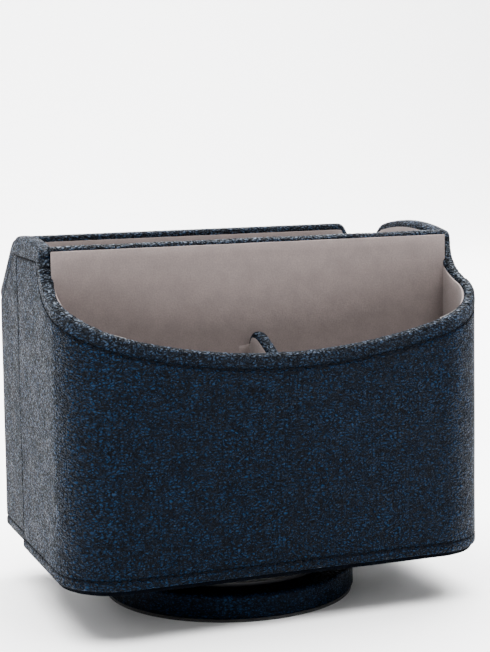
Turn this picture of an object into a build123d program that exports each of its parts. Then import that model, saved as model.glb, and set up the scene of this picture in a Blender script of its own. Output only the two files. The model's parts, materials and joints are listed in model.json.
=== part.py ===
from build123d import *
import os

# Turning desk organizer: a leather-covered box on a ball turntable and a round base.
# X to the right, Y to the back, Z up; origin on the table under the turning axis. Millimetres.

# ---- overall sizes
body_width = 188.0          # over the front shell
body_depth = 127.6          # front face to back face
body_height = 137.0         # lower edge of the walls to the crown of the side tops
base_radius = 55.3
base_height = 11.7
turntable_height = 8.5
bottom_thickness = 1.9
body_offset = 5.5           # middle of the body, to the right of the turning axis

# ---- skins and boards
leather = 0.8
lining = 0.8
outer_board = 1.8           # bent board of the front shell
inner_board = 1.1           # bent board inside the pockets
rear_board = 2.6            # sides and back of the tall box
mid_board_thickness = 2.9
divider_board_thickness = 2.9
floor_thickness = 3.0

# ---- front shell
corner_radius = 25.1        # outer radius of the two front corners
seam_from_front = 82.8      # folded end of the front shell on each side
front_drop = 46.2           # middle of the front rim, under the crown
front_rise = 9.6            # rim height gained across half of the flat front
corner_rise = 14.0          # rim height gained round one corner
step_setback = 1.5          # upright part of the rim, behind the face of the mid wall
step_radius = 2.2           # round where the upright part meets the side top
sweep_start = 0.58          # share of the run over which the sweep keeps the rim's slope
sweep_end = 0.42            # share of the climb that the sweep has left behind when upright
rim_lip = 3.5               # leather turned in over the rim

# ---- tops of the tall box
crown = 2.4                 # crown of a side top over its front end
crown_from_mid = 38.0       # place of the crown, behind the mid wall
side_end_drop = 3.6         # side top at the start of the slanted corner, under the crown
slant_length = 26.5         # slanted rear-top corner of a side, along Y
slant_height = 24.0
slant_round = 5.0
band_height = 9.1           # leather band over each side top
back_drop = 3.9             # top of the back wall, under the crown
back_cut_width = 12.4       # slanted top corners of the back wall
back_round = 4.0
binding_lip = 1.5           # leather turned over the mid wall and divider faces

# ---- compartments
pocket_depth = 38.4         # front face to the front face of the mid wall
mid_drop = 2.2              # top of the mid wall, under the crown
divider_x = -2.0
divider_nose = 4.7          # highest point of the divider over the front rim
divider_nose_run = 5.6      # distance of that point from the mid wall
divider_fall = 16.0         # distance at which most of the fall is done
flange_width = 4.0          # lining of the divider glued to the mid wall
flange_drop = 1.4           # top of that flange, under the front rim

# ---- bottom
bottom_inset = 1.8          # bottom panel inside the walls
pad_thickness = 1.2
pad_inset = 0.8
turn_under = 12.0           # leather glued under the edge of the base

# ---- turntable
plate_radius = 43.0
plate_thickness = 1.5
ball_circle = 27.0
ball_radius = 3.0
ball_count = 14
ball_clearance = 0.1
retainer_thickness = 2.0
retainer_edge = 5.0         # retainer beyond the ball circle
rivet_radius = 4.0
rivet_running_clearance = 0.05
rivet_head_radius = 6.5
rivet_head = 0.8
rivet_head_clearance = 0.1
rivet_well = 1.0            # room round and beyond a rivet head
screw_circle = 38.5
screw_count = 4
screw_radius = 1.5
screw_head_radius = 2.8
screw_head = 1.3
screw_bite = 2.4            # into the floor board
base_screw_bite = 7.0       # into the base board
access_radius = 3.4         # hole through which the upper screws are driven
access_angle = 22.5

# ---- heights
z_body = base_height + turntable_height
z_wall = z_body + bottom_thickness
z_floor = z_wall + floor_thickness
z_top = z_wall + body_height
z_dip = z_top - front_drop
z_straight = z_dip + front_rise
z_corner = z_straight + corner_rise
z_side_front = z_top - crown
z_side_end = z_top - side_end_drop
z_band = z_top - band_height
z_back = z_top - back_drop
z_mid = z_top - mid_drop
z_flange = z_dip - flange_drop
z_over = z_top + 5.0

# ---- plan positions, in the body's own plan, whose middle is body_offset from the axis
body_place = Pos(body_offset, 0, 0)
front_y = -body_depth / 2
back_y = body_depth / 2
corner_y = front_y + corner_radius
seam_y = front_y + seam_from_front
mid_y = front_y + pocket_depth
step_y = mid_y + step_setback
crown_y = mid_y + crown_from_mid
shell = leather + outer_board
wall = shell + inner_board + lining
rear_x = body_width / 2 - shell
rear_wall = leather + rear_board + lining
rear_in_x = rear_x - rear_wall
rear_in_y = back_y - rear_wall
board_in_x = rear_in_x + lining
board_out_x = rear_x - leather
mid_face_y = mid_y + lining
mid_back_y = mid_face_y + mid_board_thickness
slot_y = mid_back_y + lining
pocket_x = body_width / 2 - wall
pocket_y = front_y + wall
reach = body_width


def block(x_low, x_high, y_low, y_high, z_low, z_high):
    """Upright box between two corners."""
    centre = Pos((x_low + x_high) / 2, (y_low + y_high) / 2, (z_low + z_high) / 2)
    return centre * Box(x_high - x_low, y_high - y_low, z_high - z_low)


def side_block(side, x_in, x_out, y_low, y_high, z_low, z_high):
    """Box on one side of the object: side is -1 on the left and 1 on the right."""
    x_low, x_high = sorted((side * x_in, side * x_out))
    return block(x_low, x_high, y_low, y_high, z_low, z_high)


def slab(outline, z_low, z_high):
    """Upright solid over a flat outline."""
    return extrude(Pos(0, 0, z_low) * outline, amount=z_high - z_low)


def disc(radius, z_low, z_high, x=0.0, y=0.0):
    """Upright cylinder."""
    return Pos(x, y, (z_low + z_high) / 2) * Cylinder(radius, z_high - z_low)


# ---- outlines in plan


def front_outline(inset, end_y):
    """Area inside the front shell at a given depth from its outer face."""
    half = body_width / 2 - inset
    face = front_y + inset
    radius = corner_radius - inset
    lines = [
        Line((-half, end_y), (-half, face + radius)),
        CenterArc((-half + radius, face + radius), radius, 180, 90),
        Line((-half + radius, face), (half - radius, face)),
        CenterArc((half - radius, face + radius), radius, 270, 90),
        Line((half, face + radius), (half, end_y)),
        Line((half, end_y), (-half, end_y)),
    ]
    return make_face(lines)


def front_ring(outer, inner, end_y, z_low):
    """Upright U-shaped layer of the front shell between two depths, higher than the rim."""
    ring = front_outline(outer, end_y) - front_outline(inner, end_y)
    return slab(ring, z_low, z_over)


def body_outline(inset):
    """Outline of the whole body, stepped in behind the front shell."""
    rear = Pos(0, (mid_y + back_y - inset) / 2) * Rectangle(
        2 * (rear_x - inset), back_y - inset - mid_y)
    return front_outline(inset, seam_y - inset) + rear


# ---- shapes of the tops


def side_profile(inset):
    """Side view of the body under its rim, from the front corners to the back."""
    corner_slope = corner_rise / corner_radius / 2
    run = step_y + inset - corner_y
    start = (corner_y, z_corner - inset)
    upright = (step_y + inset, z_side_front - step_radius - inset)
    climb = upright[1] - start[1]
    arch_start = (step_y + inset + step_radius, z_side_front - inset)
    slant_start = (back_y - slant_length, z_side_end - inset)
    slant_end = (back_y, z_side_end - slant_height - inset)
    lines = [
        Bezier(
            start,
            (start[0] + sweep_start * run, start[1] + sweep_start * run * corner_slope),
            (upright[0], start[1] + sweep_end * climb),
            upright,
        ),
        CenterArc((arch_start[0], upright[1]), step_radius, 180, -90),
        ThreePointArc(arch_start, (crown_y, z_top - inset), slant_start),
        Line(slant_start, slant_end),
        Polyline(slant_end, (back_y, z_body), (corner_y, z_body), start),
    ]
    face = make_face(lines)
    bend = face.vertices().sort_by_distance((slant_start[0], slant_start[1], 0))[0]
    return fillet(bend, slant_round)


def side_under(inset):
    """Everything under the side profile, across the whole width."""
    return extrude(Plane.YZ * side_profile(inset), amount=reach, both=True)


def back_under(inset):
    """Everything under the top line of the back wall."""
    corner_z = z_side_end - slant_height - inset
    half = rear_x
    points = [
        (-half, z_body), (-half, corner_z), (-half + back_cut_width, z_back - inset),
        (half - back_cut_width, z_back - inset), (half, corner_z), (half, z_body), (-half, z_body),
    ]
    face = make_face(Polyline(*points))
    bends = face.vertices().sort_by(Axis.Y)[-2:]
    return extrude(Plane.XZ * fillet(bends, back_round), amount=reach, both=True)


def front_under(inset):
    """Everything under the front rim, over the flat part of the front."""
    half = body_width / 2 - corner_radius
    ends = z_straight - inset
    lines = [
        ThreePointArc((-half, ends), (0, z_dip - inset), (half, ends)),
        Polyline((half, ends), (half, z_body), (-half, z_body), (-half, ends)),
    ]
    strip = extrude(Plane.XZ * make_face(lines), amount=reach, both=True)
    return strip & block(-reach, reach, front_y - 1, corner_y, z_body, z_over)


def corner_under(side, inset):
    """Everything under the rim round one front corner: cut off by one sloping plane."""
    half = body_width / 2 - corner_radius
    slope = corner_rise / corner_radius / 2
    column = side_block(side, half, body_width / 2 + 1, front_y - 1, corner_y, z_body, z_over)
    cut = Plane(
        origin=(side * half, front_y, z_straight - inset),
        x_dir=(1, 0, side * slope),
        z_dir=(-side * slope, -slope, 1),
    )
    above = cut * Pos(0, 0, reach / 2) * Box(2 * reach, 2 * reach, reach)
    return column - above


def rim_under(inset):
    """Everything under the swept rim, lowered by inset."""
    return front_under(inset) + corner_under(-1, inset) + corner_under(1, inset) + side_under(inset)


def divider_under(inset):
    """Everything under the top line of the divider."""
    peak = z_dip + divider_nose - inset
    curve = Spline(
        (pocket_y, z_dip - inset),
        (mid_y - divider_fall, z_dip + divider_nose / 2 - inset),
        (mid_y - divider_nose_run, peak),
        (mid_y, z_dip - inset),
    )
    sides = Polyline((mid_y, z_dip - inset), (mid_y, z_body), (pocket_y, z_body),
                     (pocket_y, z_dip - inset))
    return extrude(Plane.YZ * make_face([curve, sides]), amount=reach, both=True)


# ---- body: boards


def make_front_outer_board():
    ring = front_ring(leather, shell, seam_y - leather, z_wall + leather)
    return ring & rim_under(leather)


def make_front_inner_board():
    ring = front_ring(shell, shell + inner_board, mid_y, z_floor)
    return ring & rim_under(leather)


def make_side_board(side):
    board = side_block(side, board_in_x, board_out_x, mid_face_y, rear_in_y + lining,
                       z_wall + leather, z_over)
    return board & side_under(leather)


def make_back_board():
    board = block(-board_out_x, board_out_x, rear_in_y + lining, back_y - leather,
                  z_wall + leather, z_over)
    return board & back_under(leather)


def make_mid_board():
    return block(-board_in_x, board_in_x, mid_face_y, mid_back_y, z_floor, z_mid - leather)


def make_divider_board():
    half = divider_board_thickness / 2
    board = block(divider_x - half, divider_x + half, pocket_y, mid_y, z_floor, z_over)
    return board & divider_under(leather)


def floor_outline():
    front = front_outline(shell, mid_y)
    rear_end = rear_in_y + lining
    rear = Pos(0, (mid_y + rear_end) / 2) * Rectangle(2 * board_in_x, rear_end - mid_y)
    return front + rear


def make_floor_board():
    board = body_place * slab(floor_outline(), z_wall, z_floor)
    return board - upper_screw_holes(z_wall, z_wall + screw_bite)


# ---- body: linings


def make_front_lining():
    ring = front_ring(shell + inner_board, wall, mid_y, z_floor)
    return ring & rim_under(rim_lip)


def make_mid_lining_front():
    return block(-pocket_x, pocket_x, mid_y, mid_face_y, z_floor, z_mid - binding_lip)


def make_mid_lining_back():
    return block(-board_in_x, board_in_x, mid_back_y, slot_y, z_floor, z_mid - binding_lip)


def make_slot_lining_side(side):
    front = side_block(side, rear_in_x, board_in_x, slot_y, crown_y, z_floor, z_band)
    back = side_block(side, rear_in_x, board_in_x, crown_y, rear_in_y, z_floor, z_band)
    return front + (back & side_under(rim_lip))


def make_slot_lining_back():
    sheet = block(-board_in_x, board_in_x, rear_in_y, rear_in_y + lining, z_floor, z_over)
    return sheet & back_under(rim_lip)


def make_divider_lining(side):
    face = divider_x + side * divider_board_thickness / 2
    outer = face + side * lining
    x_low, x_high = sorted((face, outer))
    sheet = block(x_low, x_high, pocket_y, mid_y, z_floor, z_over) & divider_under(binding_lip)
    x_low, x_high = sorted((outer, outer + side * flange_width))
    flange = block(x_low, x_high, mid_y - lining, mid_y, z_floor + lining, z_flange)
    link_low, link_high = sorted((face, outer + side * lining))
    link = block(link_low, link_high, mid_y - lining, mid_y, z_floor + lining, z_flange)
    return sheet + flange + link


def make_pocket_floor_lining(side):
    pocket = front_outline(wall, mid_y)
    edge = divider_x + side * (divider_board_thickness / 2 + lining)
    x_low, x_high = sorted((edge, side * body_width))
    sheet = slab(pocket, z_floor, z_floor + lining)
    return sheet & block(x_low, x_high, pocket_y - 1, mid_y, z_floor, z_floor + lining)


def make_slot_floor_lining():
    return block(-rear_in_x, rear_in_x, slot_y, rear_in_y, z_floor, z_floor + lining)


# ---- body: leather


def shell_skin():
    """Leather of the front shell: outer face, folded ends, rim and turned-in lip."""
    outside = front_ring(0, shell, seam_y, z_wall) - front_ring(
        leather, shell, seam_y - leather, z_wall + leather)
    edge = front_ring(leather, shell, seam_y, z_wall) & (rim_under(0) - rim_under(leather))
    lip = front_ring(shell, wall, mid_y, z_floor) & (rim_under(0) - rim_under(rim_lip))
    lip = lip - make_front_inner_board()
    return (outside & rim_under(0)) + edge + lip


def rear_side_skin(side):
    """Leather of one side of the tall box: outer face, top, turned-in lip and turned-under edge."""
    whole = side_block(side, rear_in_x, rear_x, mid_y, back_y - leather, z_wall, z_over)
    whole = whole & side_under(0)
    return whole - [
        make_side_board(side), make_slot_lining_side(side), make_mid_lining_front(),
        make_mid_lining_back(), make_mid_board(), make_back_board(), make_slot_lining_back(),
        slab(floor_outline(), z_wall, z_floor), back_gap(),
        side_block(side, rear_in_x, board_in_x, mid_y, slot_y, z_wall, z_over),
        side_block(side, rear_in_x, board_in_x, slot_y, rear_in_y, z_floor, z_floor + lining),
    ]


def back_gap():
    """Inner part of the back wall, between the leather of the two sides."""
    return block(-board_out_x, board_out_x, rear_in_y, back_y, z_body, z_over)


def back_skin():
    """Leather of the back wall: outer face, top and turned-in lip."""
    whole = block(-rear_x, rear_x, rear_in_y, back_y, z_wall, z_over) & back_under(0)
    pieces = [make_back_board(), make_slot_lining_back(), slab(floor_outline(), z_wall, z_floor)]
    for side in (-1, 1):
        pieces.append(make_side_board(side))
        pieces.append(rear_side_skin(side))
    return whole - pieces


def above_band(side):
    """Room of the leather band over one side top."""
    return side_block(side, 0, body_width, mid_y, back_y - leather, z_band, z_over)


def make_front_wrap():
    return shell_skin() - above_band(-1) - above_band(1)


def make_side_band(side):
    room = above_band(side)
    return (shell_skin() & room) + (rear_side_skin(side) & room)


def make_rear_wrap():
    outer = block(-rear_x, rear_x, back_y - leather, back_y, z_wall, z_over)
    wrap = back_skin() & outer
    for side in (-1, 1):
        wrap = wrap + (rear_side_skin(side) - above_band(side))
    return wrap


def make_rear_binding():
    outer = block(-rear_x, rear_x, back_y - leather, back_y, z_wall, z_over)
    return back_skin() - outer - block(-reach, reach, rear_in_y, back_y, z_wall, z_wall + leather)


def make_mid_binding():
    whole = block(-board_in_x, board_in_x, mid_y, slot_y, z_mid - binding_lip, z_mid)
    return whole - make_mid_board()


def make_divider_binding():
    half = divider_board_thickness / 2 + lining
    whole = block(divider_x - half, divider_x + half, pocket_y, mid_y, z_floor, z_over)
    cap = whole & (divider_under(0) - divider_under(binding_lip))
    return cap - make_divider_board()


# ---- bottom panel


def make_bottom_board():
    panel = body_place * slab(body_outline(bottom_inset + leather), z_body + leather, z_wall)
    well = disc(rivet_head_radius + rivet_well, z_body, z_wall)
    return panel - well - upper_screw_holes(z_body, z_wall)


def make_bottom_wrap():
    whole = body_place * slab(body_outline(bottom_inset), z_body, z_wall)
    inside = body_place * slab(body_outline(bottom_inset + leather), z_body + leather, z_wall)
    well = disc(rivet_head_radius + rivet_well, z_body, z_wall)
    return whole - inside - well - upper_screw_holes(z_body, z_wall)


# ---- turntable

z_ball = base_height + turntable_height / 2
z_lower_face = base_height + plate_thickness
z_upper_face = z_body - plate_thickness
base_screw_end = base_height - leather - base_screw_bite


def around(count, radius, first_angle):
    """Places evenly spaced on a circle about the turning axis."""
    return [Rot(0, 0, first_angle + 360 / count * i) * Pos(radius, 0, 0) for i in range(count)]


def upper_screw_holes(z_low, z_high):
    hole = disc(screw_radius, z_low, z_high)
    return Compound([place * hole for place in around(screw_count, screw_circle, 0)])


def lower_screw_holes(z_low, z_high):
    hole = disc(screw_radius, z_low, z_high)
    places = around(screw_count, screw_circle, 180 / screw_count)
    return Compound([place * hole for place in places])


def access_hole(z_low, z_high):
    return Rot(0, 0, access_angle) * disc(access_radius, z_low, z_high, screw_circle)


def ball_track():
    return Pos(0, 0, z_ball) * Torus(ball_circle, ball_radius + ball_clearance)


def base_screw():
    """Countersunk screw, head flush with the lower plate."""
    head = Pos(0, 0, z_lower_face - plate_thickness / 2) * Cone(
        screw_radius, screw_head_radius, plate_thickness)
    return head + disc(screw_radius, base_screw_end, base_height)


def make_base_screws():
    places = around(screw_count, screw_circle, 180 / screw_count)
    return Compound([place * base_screw() for place in places])


def make_box_screws():
    screw = disc(screw_head_radius, z_upper_face - screw_head, z_upper_face) + disc(
        screw_radius, z_upper_face, z_wall + screw_bite)
    return Compound([place * screw for place in around(screw_count, screw_circle, 0)])


def make_lower_plate():
    plate = disc(plate_radius, base_height, z_lower_face) - ball_track()
    plate = plate - disc(rivet_radius, base_height, z_lower_face)
    return plate - make_base_screws() - access_hole(base_height, z_lower_face)


def make_upper_plate():
    plate = disc(plate_radius, z_upper_face, z_body) - ball_track()
    bore = disc(rivet_radius + rivet_running_clearance, z_upper_face, z_body)
    return plate - bore - upper_screw_holes(z_upper_face, z_body)


def make_rivet():
    upper_head = z_body + rivet_head_clearance
    shank = disc(rivet_radius, base_height - rivet_head, upper_head + rivet_head)
    lower = disc(rivet_head_radius, base_height - rivet_head, base_height)
    return shank + lower + disc(rivet_head_radius, upper_head, upper_head + rivet_head)


def make_balls():
    places = around(ball_count, ball_circle, 0)
    return Compound([place * Pos(0, 0, z_ball) * Sphere(ball_radius) for place in places])


def make_retainer():
    low = z_ball - retainer_thickness / 2
    high = z_ball + retainer_thickness / 2
    ring = disc(ball_circle + retainer_edge, low, high)
    ring = ring - disc(rivet_radius + rivet_well, low, high)
    pocket = disc(ball_radius + ball_clearance, low, high)
    return ring - [place * pocket for place in around(ball_count, ball_circle, 0)]


# ---- base


def base_wells(z_low, z_high):
    """Openings in the base under the turntable: rivet head, screws and the driving hole."""
    well_low = max(z_low, base_height - rivet_head - rivet_well)
    well = disc(rivet_head_radius + rivet_well, well_low, z_high)
    screws_low = max(z_low, base_screw_end)
    return [well, lower_screw_holes(screws_low, z_high), access_hole(z_low, z_high)]


def make_base_board():
    z_low = pad_thickness + leather
    z_high = base_height - leather
    return disc(base_radius - leather, z_low, z_high) - base_wells(z_low, z_high)


def make_base_wrap():
    whole = disc(base_radius, pad_thickness, base_height)
    inside = disc(base_radius - leather, pad_thickness + leather, base_height - leather)
    opening = disc(base_radius - turn_under, pad_thickness, pad_thickness + leather)
    return whole - inside - opening - base_wells(base_height - leather, base_height)


def make_base_pad():
    pad = disc(base_radius - pad_inset, 0, pad_thickness)
    return pad + disc(base_radius - turn_under, pad_thickness, pad_thickness + leather)


axis_parts = {
    "base_pad": make_base_pad(),
    "base_board": make_base_board(),
    "base_wrap": make_base_wrap(),
    "turntable_lower_plate": make_lower_plate(),
    "turntable_rivet": make_rivet(),
    "base_screws": make_base_screws(),
    "turntable_retainer": make_retainer(),
    "turntable_balls": make_balls(),
    "turntable_upper_plate": make_upper_plate(),
    "box_screws": make_box_screws(),
    "bottom_board": make_bottom_board(),
    "bottom_wrap": make_bottom_wrap(),
    "floor_board": make_floor_board(),
}
body_parts = {
    "back_board": make_back_board(),
    "mid_board": make_mid_board(),
    "divider_board": make_divider_board(),
    "front_outer_board": make_front_outer_board(),
    "front_inner_board": make_front_inner_board(),
    "front_lining": make_front_lining(),
    "mid_lining_front": make_mid_lining_front(),
    "mid_lining_back": make_mid_lining_back(),
    "slot_lining_back": make_slot_lining_back(),
    "slot_floor_lining": make_slot_floor_lining(),
    "front_wrap": make_front_wrap(),
    "rear_wrap": make_rear_wrap(),
    "rear_binding": make_rear_binding(),
    "mid_binding": make_mid_binding(),
    "divider_binding": make_divider_binding(),
}
for name, side in (("left", -1), ("right", 1)):
    body_parts[f"side_board_{name}"] = make_side_board(side)
    body_parts[f"side_band_{name}"] = make_side_band(side)
    body_parts[f"slot_lining_{name}"] = make_slot_lining_side(side)
    body_parts[f"divider_lining_{name}"] = make_divider_lining(side)
    body_parts[f"pocket_floor_lining_{name}"] = make_pocket_floor_lining(side)

os.makedirs("parts", exist_ok=True)
for name, shape in axis_parts.items():
    export_step(shape, f"parts/{name}.step")
for name, shape in body_parts.items():
    export_step(body_place * shape, f"parts/{name}.step")
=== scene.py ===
import json
import math

import bpy
import numpy as np
from mathutils import Matrix, Vector

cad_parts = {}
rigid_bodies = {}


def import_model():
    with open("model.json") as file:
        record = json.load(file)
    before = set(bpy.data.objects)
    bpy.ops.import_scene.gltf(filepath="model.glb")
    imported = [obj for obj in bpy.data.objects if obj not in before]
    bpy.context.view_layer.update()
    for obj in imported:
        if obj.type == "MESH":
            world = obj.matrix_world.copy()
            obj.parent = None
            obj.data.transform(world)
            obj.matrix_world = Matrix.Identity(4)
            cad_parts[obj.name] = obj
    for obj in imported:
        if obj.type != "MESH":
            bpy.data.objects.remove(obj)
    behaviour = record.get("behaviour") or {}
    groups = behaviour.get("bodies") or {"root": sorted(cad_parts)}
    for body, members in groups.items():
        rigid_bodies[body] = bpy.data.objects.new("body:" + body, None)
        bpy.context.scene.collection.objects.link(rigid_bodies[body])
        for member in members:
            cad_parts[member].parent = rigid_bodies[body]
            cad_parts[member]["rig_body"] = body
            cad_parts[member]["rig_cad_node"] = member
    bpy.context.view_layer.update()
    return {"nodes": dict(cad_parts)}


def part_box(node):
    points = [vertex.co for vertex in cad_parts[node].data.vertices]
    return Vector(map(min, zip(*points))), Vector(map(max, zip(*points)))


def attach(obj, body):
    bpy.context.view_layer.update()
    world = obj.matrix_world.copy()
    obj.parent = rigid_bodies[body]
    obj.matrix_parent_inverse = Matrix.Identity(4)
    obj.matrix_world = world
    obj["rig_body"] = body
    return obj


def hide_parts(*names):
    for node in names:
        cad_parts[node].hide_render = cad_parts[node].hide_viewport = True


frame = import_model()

bl_info = {
    "name": "Turning Desk Organizer",
    "version": (1, 0, 0),
    "blender": (4, 5, 0),
    "location": "View3D > Sidebar > Organizer",
    "description": "Leather, linings, stitching and stage for the turning desk organizer",
    "category": "Object",
}

MM = 0.001

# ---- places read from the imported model, in metres
SHELL_LOW, SHELL_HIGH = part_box("front_wrap")
REAR_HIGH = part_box("rear_wrap")[1]
MID_LOW, MID_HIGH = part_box("mid_binding")
NOSE_LOW, NOSE_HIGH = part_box("divider_binding")
SLOT_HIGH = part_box("slot_floor_lining")[1]
BASE_LOW, BASE_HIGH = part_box("base_wrap")

MIDDLE = (SHELL_LOW.x + SHELL_HIGH.x) / 2       # middle of the body in X
HALF = (SHELL_HIGH.x - SHELL_LOW.x) / 2
FRONT = SHELL_LOW.y
SEAM = SHELL_HIGH.y
Z_WALL = SHELL_LOW.z
Z_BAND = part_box("side_band_right")[0].z
BACK = REAR_HIGH.y
REAR_HALF = REAR_HIGH.x - MIDDLE
SLOT_HALF = SLOT_HIGH.x - MIDDLE
SLOT_BACK = SLOT_HIGH.y
MID_FRONT = MID_LOW.y
MID_BACK = MID_HIGH.y
Z_MID = MID_HIGH.z
Z_FLOOR = SLOT_HIGH.z
Z_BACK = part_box("rear_binding")[1].z
DIVIDER = (NOSE_LOW.x + NOSE_HIGH.x) / 2 - MIDDLE
DIVIDER_HALF = (NOSE_HIGH.x - NOSE_LOW.x) / 2

# ---- outline of a side top and of the back wall's cut corners
STEP_BACK = 1.5 * MM            # upright part of the rim, behind the face of the mid wall
STEP_ROUND = 3.6 * MM           # round between that part and the side top
SWEEP_START = 0.58              # share of the run over which the sweep keeps the rim's slope
SWEEP_END = 0.42                # share of the climb left behind when the sweep is upright
Z_SIDE = 0.1567                 # side top just behind the round
CROWN_Y, Z_CROWN = 0.0126, 0.1591
SLANT_Y, Z_SLANT = 0.0373, 0.1555       # start of the slanted rear corner
Z_SLANT_END = 0.1315
BACK_CUT = 12.4 * MM            # width of the back wall's slanted top corners
Z_BACK_CUT_END = 0.1319

# ---- how the leather is worked
MERGE = 0.01 * MM               # points nearer than this are one
EDGE_ROUND = 0.9 * MM           # bend of the leather round the walls' lower edge
LINE = 0.45 * MM                # width and depth of a pressed and sewn line
SEAM_INSET = 1.7 * MM           # side seam's stitching, before the end of the shell
SEAM_FADE = 7 * MM              # run behind the seam over which the band meets the rear box
SUNK = 0.24 * MM                # how deep a stitch sits in its line
LINING = 0.75 * MM              # thickness of a wall lining
LINING_FOOT = 0.4 * MM          # a wall lining starts this far under the top of the floor's
FLOOR_LINING = 0.8 * MM
BINDING = 0.7 * MM              # thickness of the leather on the mid wall and the divider

# heights of the sheet's rows over the walls' lower edge, close together at the hem, in mm
HEM_ROWS = (1.6, 2.4, 3.1, 3.6, 3.85, 4.1, 4.35, 4.6, 5.1, 6.0, 8.0)
LOWER_BEND = (90, 62, 35, 10)   # degrees round the lower edge, from under it to upright
# rows over a sewn line: distance towards the rim and how deep they are pressed, in mm
SEWN_ROWS = ((0.0, 0.48), (0.4, 0.3), (0.85, 0.03))
STRIP_ROWS = (0.2, 0.45, 0.7, 0.9)      # shares of the strip between the line and the roll
# cut edge of a lining: how far its rows stand back and how far they rise, in mm
LINING_EDGE = ((0.10, 0.20), (0.35, 0.34), (0.6, 0.36))

# ---- stage
CAMERA_PLACE = (-0.2447, -0.6702, 0.2107)
CAMERA_TURN = (20.80, 5.39, -0.83)      # to the right, down and over, in degrees
LENS, SENSOR, LENS_SHIFT = 90.2, 36.0, -0.0936
AIM_HEIGHT = 0.09                       # the lamps point at the middle of the box
WORLD_LIGHT = 0.14
FLOOR_FRONT, FLOOR_BACK, FLOOR_HALF = -3.2, 1.7, 4.0
SWEEP_ROUND = 0.9                       # round between the floor and the backdrop
BACKDROP_LOW, BACKDROP_HIGH = 1.1, 3.4

# ---- finish of the leather
SHINE = 0.04      # how much light the leather throws back, 0.5 being plain varnish
SIDE_DULL = 0.20  # how much duller it is where it is seen from the side
FINISHES = {}


# ---- sizes and colours that a user would change


class OrganizerSizes(bpy.types.PropertyGroup):
    corner: bpy.props.FloatProperty(
        name="Corner radius", description="Outer radius of the two front corners",
        default=0.0251, min=0.01, unit="LENGTH")
    rim_dip: bpy.props.FloatProperty(
        name="Rim at the middle", description="Height of the front rim at its middle",
        default=0.1129, unit="LENGTH")
    front_rise: bpy.props.FloatProperty(
        name="Front rise", description="Rim height gained across half of the flat front",
        default=0.0096, unit="LENGTH")
    corner_rise: bpy.props.FloatProperty(
        name="Corner rise", description="Rim height gained round one corner",
        default=0.014, unit="LENGTH")
    pocket_wall: bpy.props.FloatProperty(
        name="Pocket wall", description="Thickness of the front wall with its linings",
        default=0.0045, unit="LENGTH")
    roll: bpy.props.FloatProperty(
        name="Rim roll", description="Height of the rounded leather roll over a wall",
        default=0.00215, unit="LENGTH")
    lip: bpy.props.FloatProperty(
        name="Turned-in lip", description="Leather turned in over the rim",
        default=0.0038, unit="LENGTH")
    stitch_inset: bpy.props.FloatProperty(
        name="Stitch inset", description="Distance of the top stitching from the rim",
        default=0.0066, unit="LENGTH")
    stitch_pitch: bpy.props.FloatProperty(
        name="Stitch pitch", description="Distance from one stitch to the next",
        default=0.0037, unit="LENGTH")
    thread: bpy.props.FloatProperty(
        name="Thread", description="Thickness of the sewing thread",
        default=0.00085, unit="LENGTH")
    hem: bpy.props.FloatProperty(
        name="Lower hem", description="Pressed and sewn line over the lower edge",
        default=0.0041, unit="LENGTH")
    leather: bpy.props.FloatProperty(
        name="Leather", description="Thickness of the leather",
        default=0.0008, unit="LENGTH")
    pebble: bpy.props.FloatProperty(
        name="Pebble", description="Width of one pebble of the grain",
        default=0.00165, unit="LENGTH")


class OrganizerColours(bpy.types.PropertyGroup):
    leather: bpy.props.FloatVectorProperty(
        name="Leather", description="Colour of the leather", subtype="COLOR", size=4,
        default=(0.0008, 0.0078, 0.0220, 1.0), min=0.0, max=1.0)
    # The valley colour is painted shade: it darkens the creases between the pebbles, the folds of
    # the tucks and the pressed lines, and holds down the panel and base leathers under the box.
    valley: bpy.props.FloatVectorProperty(
        name="Leather valleys", description="Colour between the pebbles", subtype="COLOR",
        size=4, default=(0.0001, 0.0003, 0.0008, 1.0), min=0.0, max=1.0)
    # Colour of the rubbed spots along the lower edges, and also of the painted highlight over the
    # tops of the rolled rims.
    wear_and_highlight: bpy.props.FloatVectorProperty(
        name="Worn leather", description="Colour where an edge has rubbed", subtype="COLOR",
        size=4, default=(0.16, 0.18, 0.20, 1.0), min=0.0, max=1.0)
    lining: bpy.props.FloatVectorProperty(
        name="Lining", description="Colour of the suede lining", subtype="COLOR", size=4,
        default=(0.162, 0.131, 0.125, 1.0), min=0.0, max=1.0)
    lining_dark: bpy.props.FloatVectorProperty(
        name="Lining, brushed", description="Lining where its nap lies the other way",
        subtype="COLOR", size=4, default=(0.135, 0.110, 0.105, 1.0), min=0.0, max=1.0)
    thread: bpy.props.FloatVectorProperty(
        name="Thread", description="Colour of the sewing thread", subtype="COLOR", size=4,
        default=(0.0008, 0.0010, 0.0016, 1.0), min=0.0, max=1.0)
    floor: bpy.props.FloatVectorProperty(
        name="Floor", description="Colour of the floor and backdrop", subtype="COLOR",
        size=4, default=(0.93, 0.93, 0.935, 1.0), min=0.0, max=1.0)


def sizes():
    return bpy.context.scene.organizer_sizes


def colours():
    return bpy.context.scene.organizer_colours


# ---- mesh helpers


def clear_selection():
    if bpy.context.object and bpy.context.object.mode != "OBJECT":
        bpy.ops.object.mode_set(mode="OBJECT")
    bpy.ops.object.select_all(action="DESELECT")


def pick(obj):
    clear_selection()
    obj.select_set(True)
    bpy.context.view_layer.objects.active = obj
    return obj


def edit_all(obj):
    """Goes into edit mode with all of the piece selected."""
    pick(obj)
    bpy.ops.object.mode_set(mode="EDIT")
    bpy.ops.mesh.select_all(action="SELECT")


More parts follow.
